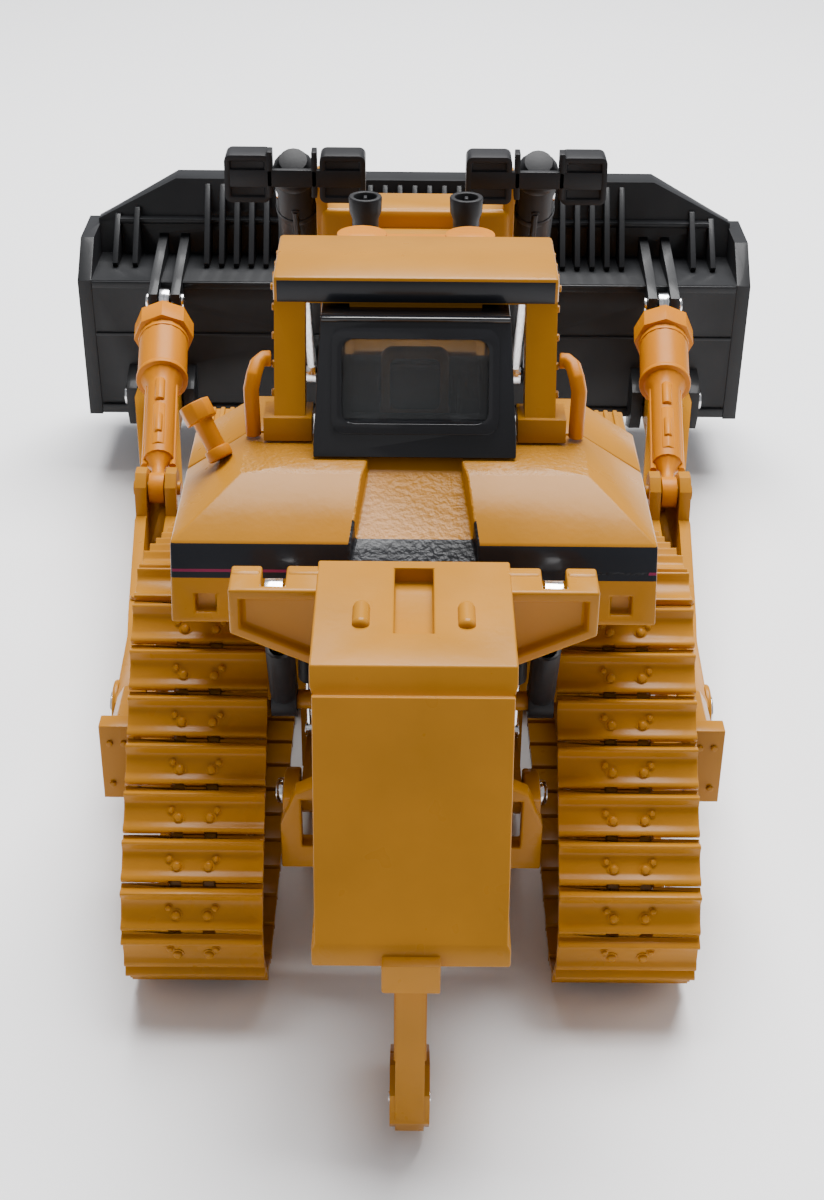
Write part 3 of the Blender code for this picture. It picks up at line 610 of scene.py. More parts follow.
def plate_mm(axis, outlines, lo, hi, material=ENAMEL, edge=0.0):
    """A plate from outlines in millimetres; its points are (y, z), (x, z) or (x, y)."""
    shift = {"X": (REAR_AXLE_Y, 0.0), "Y": (0.0, 0.0), "Z": (0.0, REAR_AXLE_Y)}[axis]
    moved = [[(u * MM + shift[0], v * MM + shift[1]) for u, v in outline] for outline in outlines]
    base = REAR_AXLE_Y if axis == "Y" else 0.0
    piece = cut_plate(axis, moved, lo * MM + base, hi * MM + base, material)
    if edge:
        round_edges(piece, edge * MM, 2)
        smooth(piece)
    return piece


def bar_mm(start, end, radius, material=ENAMEL, sides=20, end_radius=None, edge=0.0):
    """A round bar between two points in millimetres."""
    far = None if end_radius is None else end_radius * MM
    piece = bar(spot(*start), spot(*end), radius * MM, material, sides, far)
    if edge:
        round_edges(piece, edge * MM, 2)
    return smooth(piece)


BAND_LOW, BAND_TOP = 60.0, 64.3
LINE_LOW, LINE_TOP = 60.75, 61.1
TROUGH_HALF = 9.6
TROUGH_STEP_Y = 9.0
CANOPY_BAND = (87.35, 90.35)
CANOPY_BAND_HALF = 18.3
FENDER_BAND_FRONT = 38.6


def in_trough(x, y, z):
    """Whether a point of the tank lies in the sunken strip down its middle."""
    return abs(x) < TROUGH_HALF and 3.5 < y < 18.6 and z > 60.4


def tank_band(x, y, z, normal):
    """The tank's printed band, outside the trough."""
    outward = normal.y < -0.3 or abs(normal.x) > 0.9
    return BAND_LOW < z < BAND_TOP and outward and not in_trough(x, y, z)


def tank_line(x, y, z, normal):
    """The thin line along the band, outside the trough."""
    outward = normal.y < -0.8 or abs(normal.x) > 0.9
    return LINE_LOW < z < LINE_TOP and outward and abs(x) > TROUGH_HALF


def trough_floor(x, y, z, normal):
    """The trough's gritty floor."""
    return in_trough(x, y, z) and y > TROUGH_STEP_Y and normal.z > 0.5


def trough_end(x, y, z, normal):
    """The trough's rear end, where the band crosses it."""
    return in_trough(x, y, z) and y < TROUGH_STEP_Y


def finish_tank():
    """The fuel tank with its printed band and line, and its gritty trough."""
    tank = refine("fuel_tank", 0.00035, 3)
    for height in (BAND_LOW, LINE_LOW, LINE_TOP, BAND_TOP):
        split_at(tank, spot(0, 0, height), (0, 0, 1))
    split_at(tank, spot(0, TROUGH_STEP_Y, 0), (0, 1, 0))
    coat_faces(tank, BAND_BLACK, tank_band)
    coat_faces(tank, BAND_LINE, tank_line)
    coat_faces(tank, GRIT, trough_floor)
    coat_faces(tank, BAND_GRIT, trough_end)
    return tank


def canopy_band(x, y, z, normal):
    """The black band on the canopy's rear edge."""
    rearward = normal.y < -0.9 and y < 30.6
    return rearward and CANOPY_BAND[0] < z < CANOPY_BAND[1] and abs(x) < CANOPY_BAND_HALF


def finish_canopy():
    """The rollover canopy with its printed rear band, under bar and rows of bolts."""
    extra = [block_mm((-8.8, 8.8), (30.9, 33.4), (86.2, 87.2), ENAMEL, 0.2)]
    for _, side in SIDES:
        for z, y in ((86.0, 31.8), (82.6, 30.2), (79.2, 28.6), (75.8, 27.0)):
            extra.append(bar_mm((side * 18.4, y, z), (side * 19.1, y, z), 0.55, ENAMEL, 8, edge=0.12))
        for y in (32.0, 36.0, 40.0, 44.0):
            extra.append(bar_mm((side * 18.6, y, 88.8), (side * 19.2, y, 88.8), 0.5, ENAMEL, 8, edge=0.12))
    canopy = refine("rops_canopy", 0.0003, 3, extra)
    for height in CANOPY_BAND:
        split_at(canopy, spot(0, 0, height), (0, 0, 1))
    for x in (-CANOPY_BAND_HALF, CANOPY_BAND_HALF):
        split_at(canopy, spot(x, 0, 0), (1, 0, 0))
    coat_faces(canopy, BAND_BLACK, canopy_band)
    return canopy


def rounded(x0, x1, z0, z1, radius, steps=5):
    """A rectangle with round corners."""
    left, right, bottom, top = x0 + radius, x1 - radius, z0 + radius, z1 - radius
    points = []
    for x, z, start in ((right, top, 0), (left, top, 90), (left, bottom, 180), (right, bottom, 270)):
        for k in range(steps + 1):
            angle = math.radians(start + 90 * k / steps)
            points.append((x + radius * math.cos(angle), z + radius * math.sin(angle)))
    return points


def finish_cab():
    """The gloss cab with a rim round its rear window and a roof lip."""
    lean = Vector((0, 27.0 - 18.6, 86.4 - 70.35)).normalized()
    out = Vector((0, -lean.z, lean.y))
    rim = cut_plate("Y", [
        [(x * MM, z * MM) for x, z in rounded(-11.0, 11.0, -6.9, 6.9, 1.9)],
        [(x * MM, z * MM) for x, z in rounded(-9.6, 9.6, -5.5, 5.5, 1.6)],
    ], -0.0005, 0.0007, CAB_BLACK)
    round_edges(rim, 0.00022, 2)
    smooth(rim)
    centre = spot(0, (18.6 + 27.0) / 2, (70.35 + 86.4) / 2) + lean * 0.0009
    turn = Matrix((
        (1, 0, 0, centre.x),
        (0, -out.y, lean.y, centre.y),
        (0, -out.z, lean.z, centre.z),
        (0, 0, 0, 1),
    ))
    rim.data.transform(turn)
    lip = block_mm((-12.4, 12.4), (26.6, 28.0), (86.0, 86.7), CAB_BLACK, 0.2)
    return refine("cab_shell", 0.0005, 3, [rim, lip])


def finish_air_unit():
    """The roof unit: a low body with two rounded pods."""
    pieces = [block_mm((-11.3, 11.3), (46.9, 53.9), (86.1, 88.5), TRIM, 0.7)]
    for _, side in SIDES:
        middle_x = side * 7.6
        oval = [(middle_x + u * 3.5, 50.4 + v * 3.3) for u, v in ring((0, 0), 1.0, 28)]
        pieces.append(plate_mm("Z", [oval], 86.5, 89.55, TRIM, 1.0))
        pieces.append(block_mm((middle_x - 2.0, middle_x + 2.0), (49.2, 51.6), (89.1, 89.58), TRIM, 0.2))
    wear(join(pieces, "roof_unit_pods"), "roof_air_unit")


finish_tank()
finish_canopy()
finish_cab()
finish_air_unit()


# ---- Ripper carriage ----


def recess(piece, chosen, rim, depth):
    """Sinks the picked faces behind a raised rim."""
    pick(piece)
    bpy.ops.object.mode_set(mode="EDIT")
    bpy.ops.mesh.select_all(action="DESELECT")
    bpy.ops.object.mode_set(mode="OBJECT")
    for face in piece.data.polygons:
        x, y, z = face.center / MM
        face.select = chosen(x, y - REAR_AXLE_Y / MM, z, face)
    bpy.ops.object.mode_set(mode="EDIT")
    bpy.ops.mesh.select_mode(type="FACE")
    bpy.ops.mesh.inset(thickness=rim * MM, depth=0.0)
    bpy.ops.mesh.inset(thickness=rim * MM * 0.3, depth=-depth * MM)
    bpy.ops.object.mode_set(mode="OBJECT")
    return piece


def finish_carriage():
    """The tall box on its pins: slotted crown, recessed wings, lugs, yoke and shank bracket."""
    side_view = [(-1.0, 66.0), (-24.6, 66.0), (-27.2, 63.6), (-33.4, 29.3)]
    side_view += [(-9.5, 29.3), (-9.5, 40.0), (-1.0, 55.0)]
    box = plate_mm("X", [side_view], -11.8, 11.8)
    pocket = [(-34.2, 18.9), (-26.3, 61.0), (-18.4, 61.0), (-25.9, 18.9)]
    carve(box, plate_mm("X", [pocket], -2.15, 2.15))
    carve(box, block_mm((-2.35, 2.35), (-17.6, -2.7), (63.9, 70.0)))
    recess(box, lambda x, y, z, face: abs(face.normal.x) > 0.99 and abs(x) > 11.5, 2.2, 0.35)
    round_edges(box, 0.0008, 4, 30.0)
    smooth(box)
    pieces = [box]
    for _, side in SIDES:
        wing_view = [(side * x, z) for x, z in ((9.0, 65.8), (22.4, 65.8), (22.4, 59.6), (9.0, 53.5))]
        wing = plate_mm("Y", [wing_view], -8.0, -1.9)
        recess(wing, lambda x, y, z, face: face.normal.y < -0.9, 1.3, 1.1)
        carve(wing, block_mm((side * 15.6, side * 18.6), (-6.8, 2.0), (50.0, 70.0)))
        round_edges(wing, 0.00035, 3, 30.0)
        pieces.append(smooth(wing))
        pieces.append(bar_mm((side * 18.8, -3.6, 64.9), (side * 22.3, -3.6, 64.9), 1.1, edge=0.3))
        pieces.append(bar_mm((side * 4.0, -3.6, 65.1), (side * 15.3, -3.6, 65.1), 0.9, edge=0.2))
        lug = bar_mm((side * 6.2, -16.6, 65.9), (side * 6.2, -11.4, 65.9), 1.05, sides=24)
        round_edges(lug, 0.00075, 4, 60.0)
        pieces.append(smooth(lug))
        cheek = [(-2.2, 22.4), (-2.2, 30.2), (3.0, 30.8), (6.6, 29.2)]
        cheek += [(7.4, 27.0), (6.6, 24.8), (3.0, 23.2)]
        pieces.append(plate_mm("X", [cheek], side * 15.1, side * 17.15, edge=0.3))
        pieces.append(bar_mm((side * 15.0, -4.2, 62.8), (side * 19.4, -4.2, 62.8), 0.8, BRIGHT))
        pieces.append(bar_mm((side * 17.0, 4.0, 27.0), (side * 18.3, 4.0, 27.0), 1.75, BRIGHT, edge=0.35))
        ear = [(-6.4, 33.6), (-0.9, 33.6), (-0.9, 45.0), (-5.2, 40.0)]
        pieces.append(plate_mm("X", [ear], side * 5.6, side * 7.6, edge=0.2))
    yoke = [(-17.4, 19.8), (17.4, 19.8), (17.4, 27.0), (15.4, 32.0)]
    yoke += [(10.6, 34.4), (-10.6, 34.4), (-15.4, 32.0), (-17.4, 27.0)]
    hole = ((11.2, 23.4), (14.6, 23.4), (14.6, 31.0), (11.2, 31.0))
    holes = [[(side * x, z) for x, z in hole] for _, side in SIDES]
    pieces.append(plate_mm("Y", [yoke, *holes], -3.6, -0.8, edge=0.3))
    pieces.append(block_mm((-8.0, 8.0), (-10.5, -1.5), (23.0, 33.4), edge=0.5))
    bracket = [(-3.5, -24.0), (-3.5, -35.0), (3.5, -35.0), (3.5, -24.0)]
    bracket += [(2.12, -24.0), (2.12, -32.6), (-2.12, -32.6), (-2.12, -24.0)]
    pieces.append(plate_mm("Z", [bracket], 26.4, 30.7, edge=0.3))
    pieces.append(bar_mm((-18.4, 4.0, 27.0), (18.4, 4.0, 27.0), 1.3, BRIGHT))
    pieces.append(bar_mm((-2.9, -33.9, 28.5), (2.9, -33.9, 28.5), 0.5, BRIGHT, 12))
    wear(join(pieces, "carriage_casting"), "ripper_carriage")


def finish_shank():
    """The tooth with a forged tip held by a pin, and a rib down each side."""
    rib = [(-31.4, 26.0), (-33.5, 14.0), (-30.6, 13.2), (-28.6, 26.0)]
    extra = []
    for _, side in SIDES:
        extra.append(plate_mm("X", [rib], side * 1.7, side * 2.0, edge=0.1))
        extra.append(bar_mm((side * 2.3, -31.6, 6.0), (side * 2.7, -31.6, 6.0), 0.7, BRIGHT, 16, edge=0.15))
    refine("ripper_shank", 0.0003, 3, extra)


finish_carriage()
finish_shank()


# ---- Blade, lamps and braces ----

# Pivots, in millimetres: (forward, up), with their places across.
BRACE_FOOT, BRACE_FOOT_X = (91.4, 27.6), 45.0
BRACE_HEAD, BRACE_HEAD_X = (146.0, 40.8), 49.2
LIFT_PIVOT, LIFT_EYE, LIFT_X = (110.0, 76.0), (146.6, 26.0), 20.6
TRUNNION = (38.5, 17.3)
BLADE_PIN = (148.0, 19.5)


def finish_blade():
    """The blade's ribbed back, its long rail and weld line, stiffened cheeks and pinned ears."""
    extra = []
    rib_view = [(165.2, 43.3), (158.0, 43.3), (157.4, 44.2), (166.4, 57.6), (168.0, 58.4)]
    for k in range(-15, 16):
        x = k * 3.0
        if 44.5 < abs(x) < 54.5:
            continue
        extra.append(plate_mm("X", [rib_view], x - 0.55, x + 0.55, BLADE_BLACK, 0.12))
    for _, side in SIDES:
        for x, top in ((56.5, 53.0), (60.5, 51.6)):
            view = [(165.2, 43.3), (158.0, 43.3), (157.4, 44.2), (165.8, top), (167.2, top)]
            extra.append(plate_mm("X", [view], side * (x - 0.55), side * (x + 0.55), BLADE_BLACK, 0.12))
        for x, pin, radius in ((45.4, BRACE_HEAD, 1.5), (52.2, BRACE_HEAD, 1.5), (58.0, BLADE_PIN, 2.0)):
            extra.append(bar_mm((side * x, *pin), (side * (x + 0.8), *pin), radius, BRIGHT, edge=0.3))
        frame_view = [(152.4, 16.0), (151.4, 41.0), (153.0, 41.9), (153.6, 16.0)]
        extra.append(plate_mm("X", [frame_view], side * 65.2, side * 67.05, BLADE_BLACK, 0.2))
    extra.append(block_mm((-60.0, 60.0), (164.6, 167.4), (49.9, 51.0), BLADE_BLACK, 0.2))
    extra.append(block_mm((-64.3, 64.3), (150.6, 151.9), (31.2, 31.9), BLADE_BLACK, 0.15))
    extra.append(block_mm((-64.3, 64.3), (151.2, 152.4), (14.2, 15.8), BLADE_BLACK, 0.3))
    extra.append(block_mm((-64.3, 64.3), (150.1, 151.4), (41.6, 43.1), BLADE_BLACK, 0.3))
    extra.append(bar_mm((-47.0, 169.6, 58.3), (47.0, 169.6, 58.3), 0.45, BLADE_BLACK, 12))
    return refine("blade", 0.0003, 3, extra)


def finish_edge():
    """The cutting edge with its row of plough bolts."""
    extra = []
    for k in range(-9, 10):
        x = k * 6.6
        extra.append(bar_mm((x, 178.2, 17.6), (x, 178.9, 18.2), 0.75, BRIGHT, 14, edge=0.2))
    return refine("cutting_edge", 0.0003, 2, extra)


def finish_lamps(side_name, side):
    """Two lamps with sunken backs and clear fronts on a clamped strap, round the cylinder's head."""
    pieces = [block_mm((side * 9.0, side * 31.0), (101.25, 102.5), (79.0, 82.0), PART_BLACK, 0.25)]
    for centre in (12.2, 28.0):
        x0, x1 = side * centre - 3.8, side * centre + 3.8
        case = plate_mm("Y", [rounded(x0, x1, 76.4, 84.4, 1.1)], 101.3, 106.3, PART_BLACK)
        recess(case, lambda x, y, z, face: abs(face.normal.y) > 0.95, 0.85, 0.5)
        round_edges(case, 0.00025, 2, 30.0)
        pieces.append(smooth(case))
        lens = rounded(x0 + 1.2, x1 - 1.2, 77.6, 83.2, 0.8)
        pieces.append(plate_mm("Y", [lens], 105.4, 106.1, CLEAR, 0.2))
    for x in (16.9, 24.3):
        across = (side * x - 0.45, side * x + 0.45)
        pieces.append(block_mm(across, (101.25, 104.2), (77.2, 85.0), PART_BLACK, 0.15))
    pieces.append(bar_mm((side * 16.9, 102.6, 80.5), (side * 24.3, 102.6, 80.5), 0.7, PART_BLACK, 12))
    wear(join(pieces, f"lamp_pair_{side_name}"), f"work_lamps_{side_name}")


def toward(start, end, distance):
    """A point a distance from start towards end."""
    run = Vector(end) - Vector(start)
    return tuple(Vector(start) + run.normalized() * distance)


def finish_brace(side_name, side):
    """The brace's barrel with its pads, side ribs and two collar rims."""
    foot, head = (side * BRACE_FOOT_X, *BRACE_FOOT), (side * BRACE_HEAD_X, *BRACE_HEAD)
    run = (Vector(head) - Vector(foot)).normalized()
    up = Vector((0, -run.z, run.y)).normalized()
    extra = []
    for low, high, rise, half in ((9.0, 20.5, 3.15, 1.5), (21.5, 27.5, 3.5, 1.0), (12.0, 17.0, 3.6, 0.8)):
        start, end = toward(foot, head, low), toward(foot, head, high)
        for sign in (-1, 1):
            shift = up * sign * (rise - half)
            extra.append(bar_mm(Vector(start) + shift, Vector(end) + shift, half, TRIM, 8, edge=0.2))
    for sign in (-1, 1):
        shift = Vector((sign * 2.5, 0, 0))
        near, far = Vector(toward(foot, head, 6.0)), Vector(toward(foot, head, 33.0))
        extra.append(bar_mm(near + shift, far + shift, 0.6, TRIM, 8))
    for low, high in ((30.5, 31.6), (42.2, 43.0)):
        extra.append(bar_mm(toward(foot, head, low), toward(foot, head, high), 4.85, TRIM, 32, edge=0.25))
    refine(f"brace_barrel_{side_name}", 0.0003, 2, extra)


finish_blade()
finish_edge()
for side_name, side in SIDES:
    finish_lamps(side_name, side)
    finish_brace(side_name, side)


# ---- Hull, running gear and fittings ----

# Axles, in millimetres: (forward, up).
SPROCKET_AXLE = (25.1, 36.0)
WHEEL_AXLE_Z = 12.7
FRONT_AXLE_Y = 88.9
ROLLERS = 7
FIRST_ROLLER_Y = 14.5


def finish_hood():
    """The hood with side doors, louvres and latches, raised top panels, a breather and side rails."""
    extra = [block_mm((-8.5, 8.5), (84.0, 103.0), (69.4, 71.6), ENAMEL, 0.5)]
    extra.append(bar_mm((0.0, 92.0, 71.0), (0.0, 92.0, 73.6), 2.3, ENAMEL, 24, edge=0.4))
    extra.append(block_mm((-9.0, 9.0), (53.0, 72.0), (67.8, 70.5), ENAMEL, 0.5))
    for _, side in SIDES:
        for y0, y1, top in ((54.0, 69.0, 65.5), (70.5, 86.5, 66.4), (88.0, 103.5, 66.4)):
            door = [(y0, 42.5), (y1, 42.5), (y1, top), (y0, top)]
            panel = plate_mm("X", [door], side * 12.2, side * 12.75, ENAMEL)
            recess(panel, lambda x, y, z, face: abs(face.normal.x) > 0.95 and abs(x) > 12.6, 0.7, 0.18)
            round_edges(panel, 0.0001, 2, 30.0)
            extra.append(smooth(panel))
            for k in range(7):
                z = 47.0 + k * 2.1
                louvre = [(side * 12.4, z), (side * 13.05, z + 0.25), (side * 12.4, z + 1.1)]
                extra.append(plate_mm("Y", [louvre], y0 + 2.6, y1 - 2.6, ENAMEL, 0.08))
            across, forward = (side * 12.5, side * 13.1), (y1 - 1.9, y1 - 1.1)
            extra.append(block_mm(across, forward, (62.6, 64.4), PART_BLACK, 0.15))
        extra.append(bar_mm((side * 13.4, 56.0, 67.0), (side * 13.4, 100.0, 68.6), 0.5, TRIM, 12))
        for y, z in ((56.0, 67.0), (78.0, 67.8), (100.0, 68.6)):
            extra.append(bar_mm((side * 12.0, y, z), (side * 13.4, y, z), 0.5, TRIM, 12))
    return refine("engine_hood", 0.0003, 2, extra)


def finish_guard():
    """The radiator guard with its grille bars, bolts, cylinder pins and side plates."""
    cheek = [(107.5, 24.0), (116.0, 24.0), (117.2, 44.0), (116.6, 62.0), (107.5, 62.0)]
    extra = []
    for k in range(13):
        x = -11.4 + k * 1.9
        slat = [(x - 0.3, 118.0), (x + 0.3, 118.0), (x + 0.3, 119.4), (x - 0.3, 119.4)]
        extra.append(plate_mm("Z", [slat], 24.3, 65.7, BLADE_BLACK, 0.1))
    for z in (34.0, 45.0, 56.0):
        extra.append(block_mm((-12.6, 12.6), (117.9, 119.0), (z - 0.6, z + 0.6), BLADE_BLACK, 0.15))
    for _, side in SIDES:
        for z in (22.0, 36.0, 52.0, 68.0):
            x = side * 14.4
            extra.append(bar_mm((x, 118.2, z), (x, 119.9, z), 0.75, ENAMEL, 6, edge=0.12))
        pin, washer = [[(side * x, *LIFT_PIVOT) for x in ends] for ends in ((23.2, 23.9), (16.7, 17.1))]
        extra.append(bar_mm(*pin, 1.9, BRIGHT, edge=0.35))
        extra.append(bar_mm(*washer, 2.5, ENAMEL, 24, edge=0.2))
        extra.append(plate_mm("X", [cheek], side * 16.1, side * 16.5, ENAMEL, 0.15))
    return refine("radiator_guard", 0.0003, 2, extra)


def fender_side(x, y, normal):
    """The fender's outer side, up to where the band ends."""
    return y < FENDER_BAND_FRONT and abs(normal.x) > 0.9 and abs(x) > 30.9


def fender_band(x, y, z, normal):
    """The printed band along the fender."""
    return BAND_LOW < z < BAND_TOP and fender_side(x, y, normal)


def fender_line(x, y, z, normal):
    """The thin line along the fender's band."""
    return LINE_LOW < z < LINE_TOP and fender_side(x, y, normal)


def finish_fender(side_name, side):
    """The side platform with its ribbed tread, tool box lid and latch."""
    extra = []
    for k in range(9):
        x = side * (18.6 + k * 1.35)
        extra.append(block_mm((x - 0.32, x + 0.32), (39.3, 48.9), (62.5, 63.35), ENAMEL, 0.15))
    lid = block_mm((side * 30.9, side * 31.25), (29.0, 37.0), (56.2, 62.8), ENAMEL, 0.12)
    extra += [lid, block_mm((side * 31.1, side * 31.5), (32.4, 33.6), (61.0, 61.9), PART_BLACK, 0.12)]
    fender = refine(f"fender_{side_name}", 0.0003, 2, extra)
    for height in (BAND_LOW, LINE_LOW, LINE_TOP, BAND_TOP):
        split_at(fender, spot(0, 0, height), (0, 0, 1))
    coat_faces(fender, BAND_BLACK, fender_band)
    coat_faces(fender, BAND_LINE, fender_line)


def finish_track_frame(side_name, side):
    """The roller frame with flanged rollers, bolted end caps, recoil cover and axle ends."""
    extra = []
    for k in range(ROLLERS):
        y = FIRST_ROLLER_Y + k * (FRONT_AXLE_Y - 2 * FIRST_ROLLER_Y) / (ROLLERS - 1)
        for x in (25.0, 31.6):
            inner, outer = (side * x, y, 7.4), (side * (x + 1.4), y, 7.4)
            # The roller flanges take the yellow enamel darkened with painted shade.
            extra.append(bar_mm(inner, outer, 3.2, LINK_PAINTED_SHADE, 28, edge=0.25))
        extra.append(bar_mm((side * 34.2, y, 8.6), (side * 35.1, y, 8.6), 1.7, ENAMEL, 20, edge=0.3))
        for shift in (-1.9, 1.9):
            inner, outer = (side * 34.4, y + shift, 11.6), (side * 34.95, y + shift, 11.6)
            extra.append(bar_mm(inner, outer, 0.5, ENAMEL, 6, edge=0.1))
    for y in (22.0, 66.0):
        extra.append(bar_mm((side * 29.0, y, 15.6), (side * 29.0, y, 17.0), 4.4, ENAMEL, 28, edge=0.5))
    extra.append(bar_mm((side * 29.0, 46.0, 14.6), (side * 29.0, 76.0, 14.6), 3.6, ENAMEL, 28, edge=0.5))
    for axle in ((0.0, WHEEL_AXLE_Z), (FRONT_AXLE_Y, WHEEL_AXLE_Z)):
        extra.append(bar_mm((side * 34.3, *axle), (side * 35.3, *axle), 2.2, BRIGHT, 24, edge=0.4))
        extra.append(bar_mm((side * 22.8, *axle), (side * 23.5, *axle), 2.2, BRIGHT, 24, edge=0.3))
    extra.append(bar_mm((side * 45.9, *TRUNNION), (side * 46.4, *TRUNNION), 2.3, BRIGHT, 24, edge=0.2))
    refine(f"track_frame_{side_name}", 0.0003, 2, extra)


def bolt_circle(axle, radius, count, start=0.0):
    """Evenly spaced places round an axle, in millimetres: (forward, up)."""
    for k in range(count):
        angle = math.tau * (k + start) / count
        yield axle[0] + radius * math.cos(angle), axle[1] + radius * math.sin(angle)


def tooth_outline(axle):
    """Twelve teeth: two points at the tip, then three round the gap."""
    outline = []
    for k in range(60):
        angle = math.tau * k / 60
        reach = (9.9, 9.9, 8.5, 8.3, 8.5)[k % 5]
        outline.append((axle[0] + reach * math.cos(angle), axle[1] + reach * math.sin(angle)))
    return outline


def finish_sprocket(side_name, side):
    """The toothed drive wheel with its bolted segments, dished web and hub cap."""
    axle = SPROCKET_AXLE
    outlines = [tooth_outline(axle), ring(axle, 5.6, 32)]
    pieces = [plate_mm("X", outlines, side * 27.9, side * 30.6, ENAMEL, 0.18)]
    pieces.append(bar_mm((side * 28.4, *axle), (side * 31.6, *axle), 7.2, ENAMEL, 40, 5.4, edge=0.3))
    pieces.append(bar_mm((side * 31.0, *axle), (side * 35.4, *axle), 4.5, ENAMEL, 36, edge=0.5))
    pieces.append(bar_mm((side * 35.0, *axle), (side * 36.7, *axle), 3.0, ENAMEL, 32, edge=0.6))
    # The shaft takes the yellow enamel darkened with painted shade.
    pieces.append(bar_mm((side * 21.6, *axle), (side * 29.0, *axle), 2.4, LINK_PAINTED_SHADE, 28, edge=0.3))
    for y, z in bolt_circle(axle, 7.6, 12):
        pieces.append(bar_mm((side * 30.3, y, z), (side * 31.0, y, z), 0.55, BRIGHT, 6, edge=0.1))
    for y, z in bolt_circle(axle, 3.6, 8):
        pieces.append(bar_mm((side * 35.2, y, z), (side * 35.8, y, z), 0.42, ENAMEL, 6, edge=0.08))
    wear(join(pieces, f"sprocket_wheel_{side_name}"), f"sprocket_{side_name}")


def finish_idler(node, side):
    """A flanged idler wheel with a centre rib, hub and axle."""
    centre = middle(node)
    axle = ((centre.y - REAR_AXLE_Y) / MM, centre.z / MM)
    pieces = []
    steps = ((26.05, 31.95, 7.6, 0.3), (27.8, 30.2, 8.3, 0.3), (25.2, 32.8, 3.4, 0.5))
    for low, high, radius, edge in steps:
        pieces.append(bar_mm((side * low, *axle), (side * high, *axle), radius, ENAMEL, 44, edge=edge))
    pieces.append(bar_mm((side * 23.85, *axle), (side * 34.25, *axle), 1.4, BRIGHT, 24))
    wear(join(pieces, node + "_wheel"), node)


def finish_arm(side_name, side):
    """The push arm with its trunnion cap, bright fork pins and two fittings on top."""
    extra = []
    for x, y in ((45.2, 60.0), (49.6, 112.0)):
        extra.append(bar_mm((side * x, y, 22.6), (side * x, y, 24.4), 0.7, ENAMEL, 12, edge=0.15))
    extra.append(bar_mm((side * 45.0, *TRUNNION), (side * 45.9, *TRUNNION), 4.0, ENAMEL, 28, edge=0.3))
    for sign in (-1, 1):
        low, high = (side * (BRACE_FOOT_X + sign * reach) for reach in (2.4, 3.6))
        extra.append(bar_mm((low, *BRACE_FOOT), (high, *BRACE_FOOT), 1.5, BRIGHT, 20, edge=0.3))
    refine(f"push_arm_{side_name}", 0.0003, 2, extra)


finish_hood()
finish_guard()
for side_name, side in SIDES:
    finish_fender(side_name, side)
    finish_track_frame(side_name, side)
    finish_sprocket(side_name, side)
    finish_idler(f"rear_idler_{side_name}", side)
    finish_idler(f"front_idler_{side_name}", side)
    finish_arm(side_name, side)


# ---- Small castings ----


def finish_lift(side_name, side):
    """The blade lift cylinder's barrel with its gland ring, clamp bands and oil pipe."""
    pivot = (side * LIFT_X, *LIFT_PIVOT)
    eye = (side * LIFT_X, *LIFT_EYE)
    extra = []
    for low, high, radius in ((-4.6, -3.2, 3.55), (4.6, 6.0, 3.65), (24.6, 26.8, 3.65), (19.4, 20.2, 3.5)):
        start, end = toward(pivot, eye, low), toward(pivot, eye, high)
        extra.append(bar_mm(start, end, radius, PART_BLACK, 32, edge=0.2))
    out = Vector((0, 0.81, 0.59))
    pipe_ends = [Vector(toward(pivot, eye, distance)) for distance in (2.0, 21.0)]
    extra.append(bar_mm(*(end - out * 3.4 for end in pipe_ends), 0.55, PART_BLACK, 12))
    for end in pipe_ends:
        extra.append(bar_mm(end, end - out * 3.7, 0.7, PART_BLACK, 12, edge=0.15))
    refine(f"lift_barrel_{side_name}", 0.0003, 2, extra)


def finish_drive(side_name, side):
    """The final drive's case with its flange and ring of bolts."""
    flange = (side * 23.6, *SPROCKET_AXLE), (side * 25.2, *SPROCKET_AXLE)
    extra = [bar_mm(*flange, 7.35, ENAMEL, 40, edge=0.3)]
    for y, z in bolt_circle(SPROCKET_AXLE, 6.2, 10, 0.5):
        extra.append(bar_mm((side * 25.1, y, z), (side * 25.6, y, z), 0.5, ENAMEL, 6, edge=0.1))
    refine(f"final_drive_{side_name}", 0.0003, 2, extra)


def finish_trunnion_guard(side_name, side):
    """The guard plate behind the push arm, with its bolts."""
    extra = []
    for z in (21.0, 28.0):
        for x in (40.4, 42.4):
            extra.append(bar_mm((side * x, 13.0, z), (side * x, 13.6, z), 0.5, ENAMEL, 6, edge=0.1))
    refine(f"trunnion_guard_{side_name}", 0.0004, 3, extra)


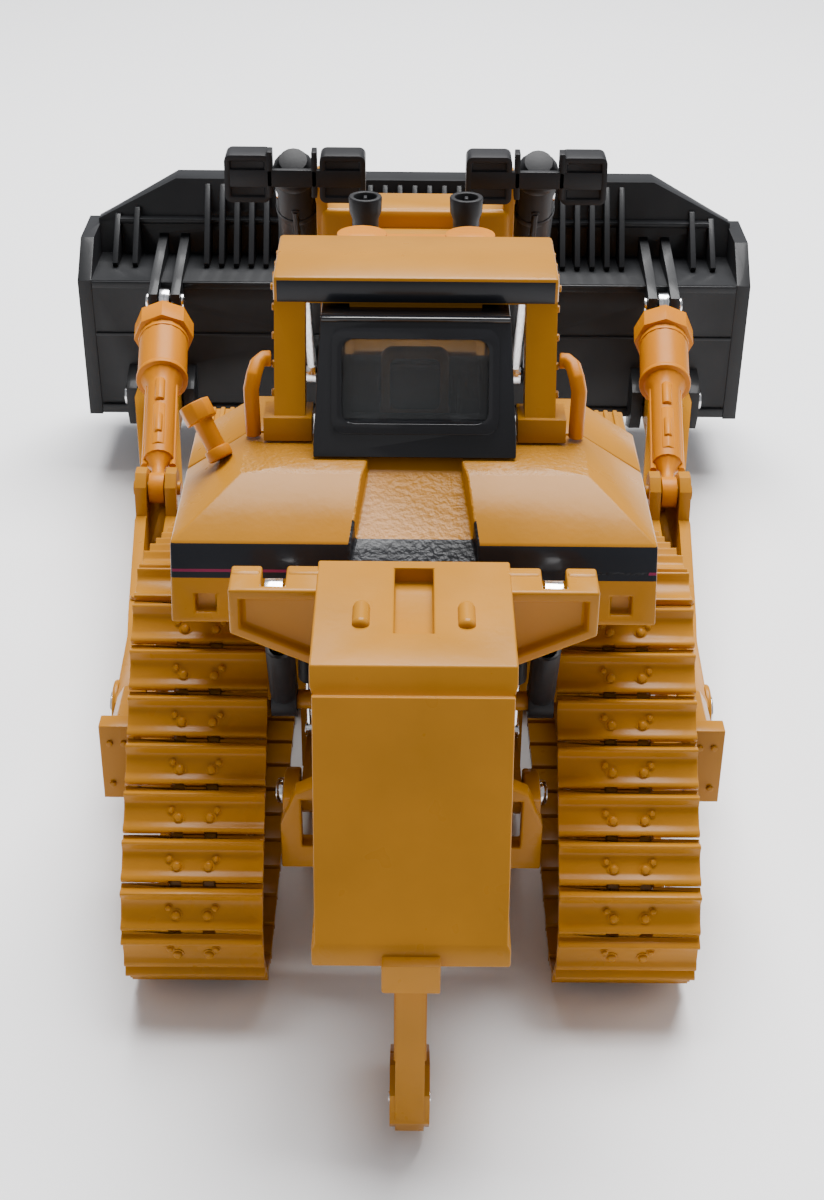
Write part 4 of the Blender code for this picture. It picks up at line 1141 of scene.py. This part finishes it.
def finish_seat():
    """The operator's seat: a ribbed cushion, a framed back and two arms."""
    pieces = [block_mm((-4.8, 4.8), (33.4, 40.8), (68.6, 70.9), TAN, 0.7)]
    for x in (-2.4, 0.0, 2.4):
        pieces.append(block_mm((x - 0.95, x + 0.95), (34.4, 40.4), (70.2, 71.2), PART_BLACK, 0.4))
    frame_view = [rounded(-4.6, 4.6, 69.0, 79.5, 1.6), rounded(-3.4, 3.4, 70.6, 78.4, 1.0)]
    pieces.append(plate_mm("Y", frame_view, 32.2, 34.0, TAN, 0.35))
    pieces.append(plate_mm("Y", [rounded(-3.8, 3.8, 70.0, 76.6, 1.2)], 32.8, 34.2, PART_BLACK, 0.4))
    pieces.append(block_mm((-3.6, 3.6), (33.8, 39.6), (65.1, 69.0), PART_BLACK, 0.5))
    for _, side in SIDES:
        pieces.append(block_mm((side * 4.3, side * 5.2), (34.0, 39.6), (72.0, 73.0), PART_BLACK, 0.3))
        pieces.append(block_mm((side * 4.3, side * 4.9), (34.2, 35.2), (69.4, 72.4), PART_BLACK, 0.2))
    wear(join(pieces, "driver_seat"), "operator_seat")


def finish_console():
    """The console with three dials and a lever."""
    extra = []
    for x in (-4.0, 0.0, 4.0):
        extra.append(bar_mm((x, 43.4, 73.2), (x, 43.4, 73.9), 0.9, BRIGHT, 20, edge=0.15))
    extra.append(bar_mm((7.4, 38.0, 70.8), (7.2, 37.4, 73.6), 0.25, BRIGHT, 10))
    extra.append(bar_mm((7.2, 37.5, 73.2), (7.15, 37.2, 74.4), 0.6, PART_BLACK, 14, edge=0.2))
    refine("control_console", 0.0003, 2, extra)


def finish_stack(side_name, side):
    """An exhaust stack with its collar, clamp band and rain flap."""
    x = side * 7.8
    extra = [bar_mm((x, 78.0, 69.6), (x, 78.0, 71.2), 2.75, ENAMEL, 28, edge=0.3)]
    extra.append(bar_mm((x, 78.0, 74.4), (x, 78.0, 75.2), 2.25, PART_BLACK, 28, edge=0.15))
    flap = [(77.0, 83.8), (79.0, 83.8), (78.6, 85.5), (77.4, 85.5)]
    extra.append(plate_mm("X", [flap], x - 0.25, x + 0.25, PART_BLACK, 0.08))
    refine(f"exhaust_stack_{side_name}", 0.0002, 2, extra)


def finish_filler():
    """The filler neck with a collar at its foot and a ring under its cap."""
    low, high = (-25.6, 21.5, 68.6), (-29.4, 24.9, 75.0)
    extra = [bar_mm(low, toward(low, high, 1.6), 1.75, TRIM, 28, edge=0.3)]
    start, end = toward(low, high, 5.6), toward(low, high, 6.6)
    extra.append(bar_mm(start, end, 2.05, TRIM, 12, edge=0.2))
    refine("fuel_filler", 0.0002, 2, extra)


finish_seat()
finish_console()
finish_filler()
for side_name, side in SIDES:
    finish_lift(side_name, side)
    finish_drive(side_name, side)
    finish_trunnion_guard(side_name, side)
    finish_stack(side_name, side)


# ---- Other castings ----

for node in frame["nodes"]:
    if node == "cab_glazing":
        frame["nodes"][node].data.materials.clear()
        frame["nodes"][node].data.materials.append(CLEAR)
    elif node not in FINISHED:
        refine(node, 0.00025, 2)
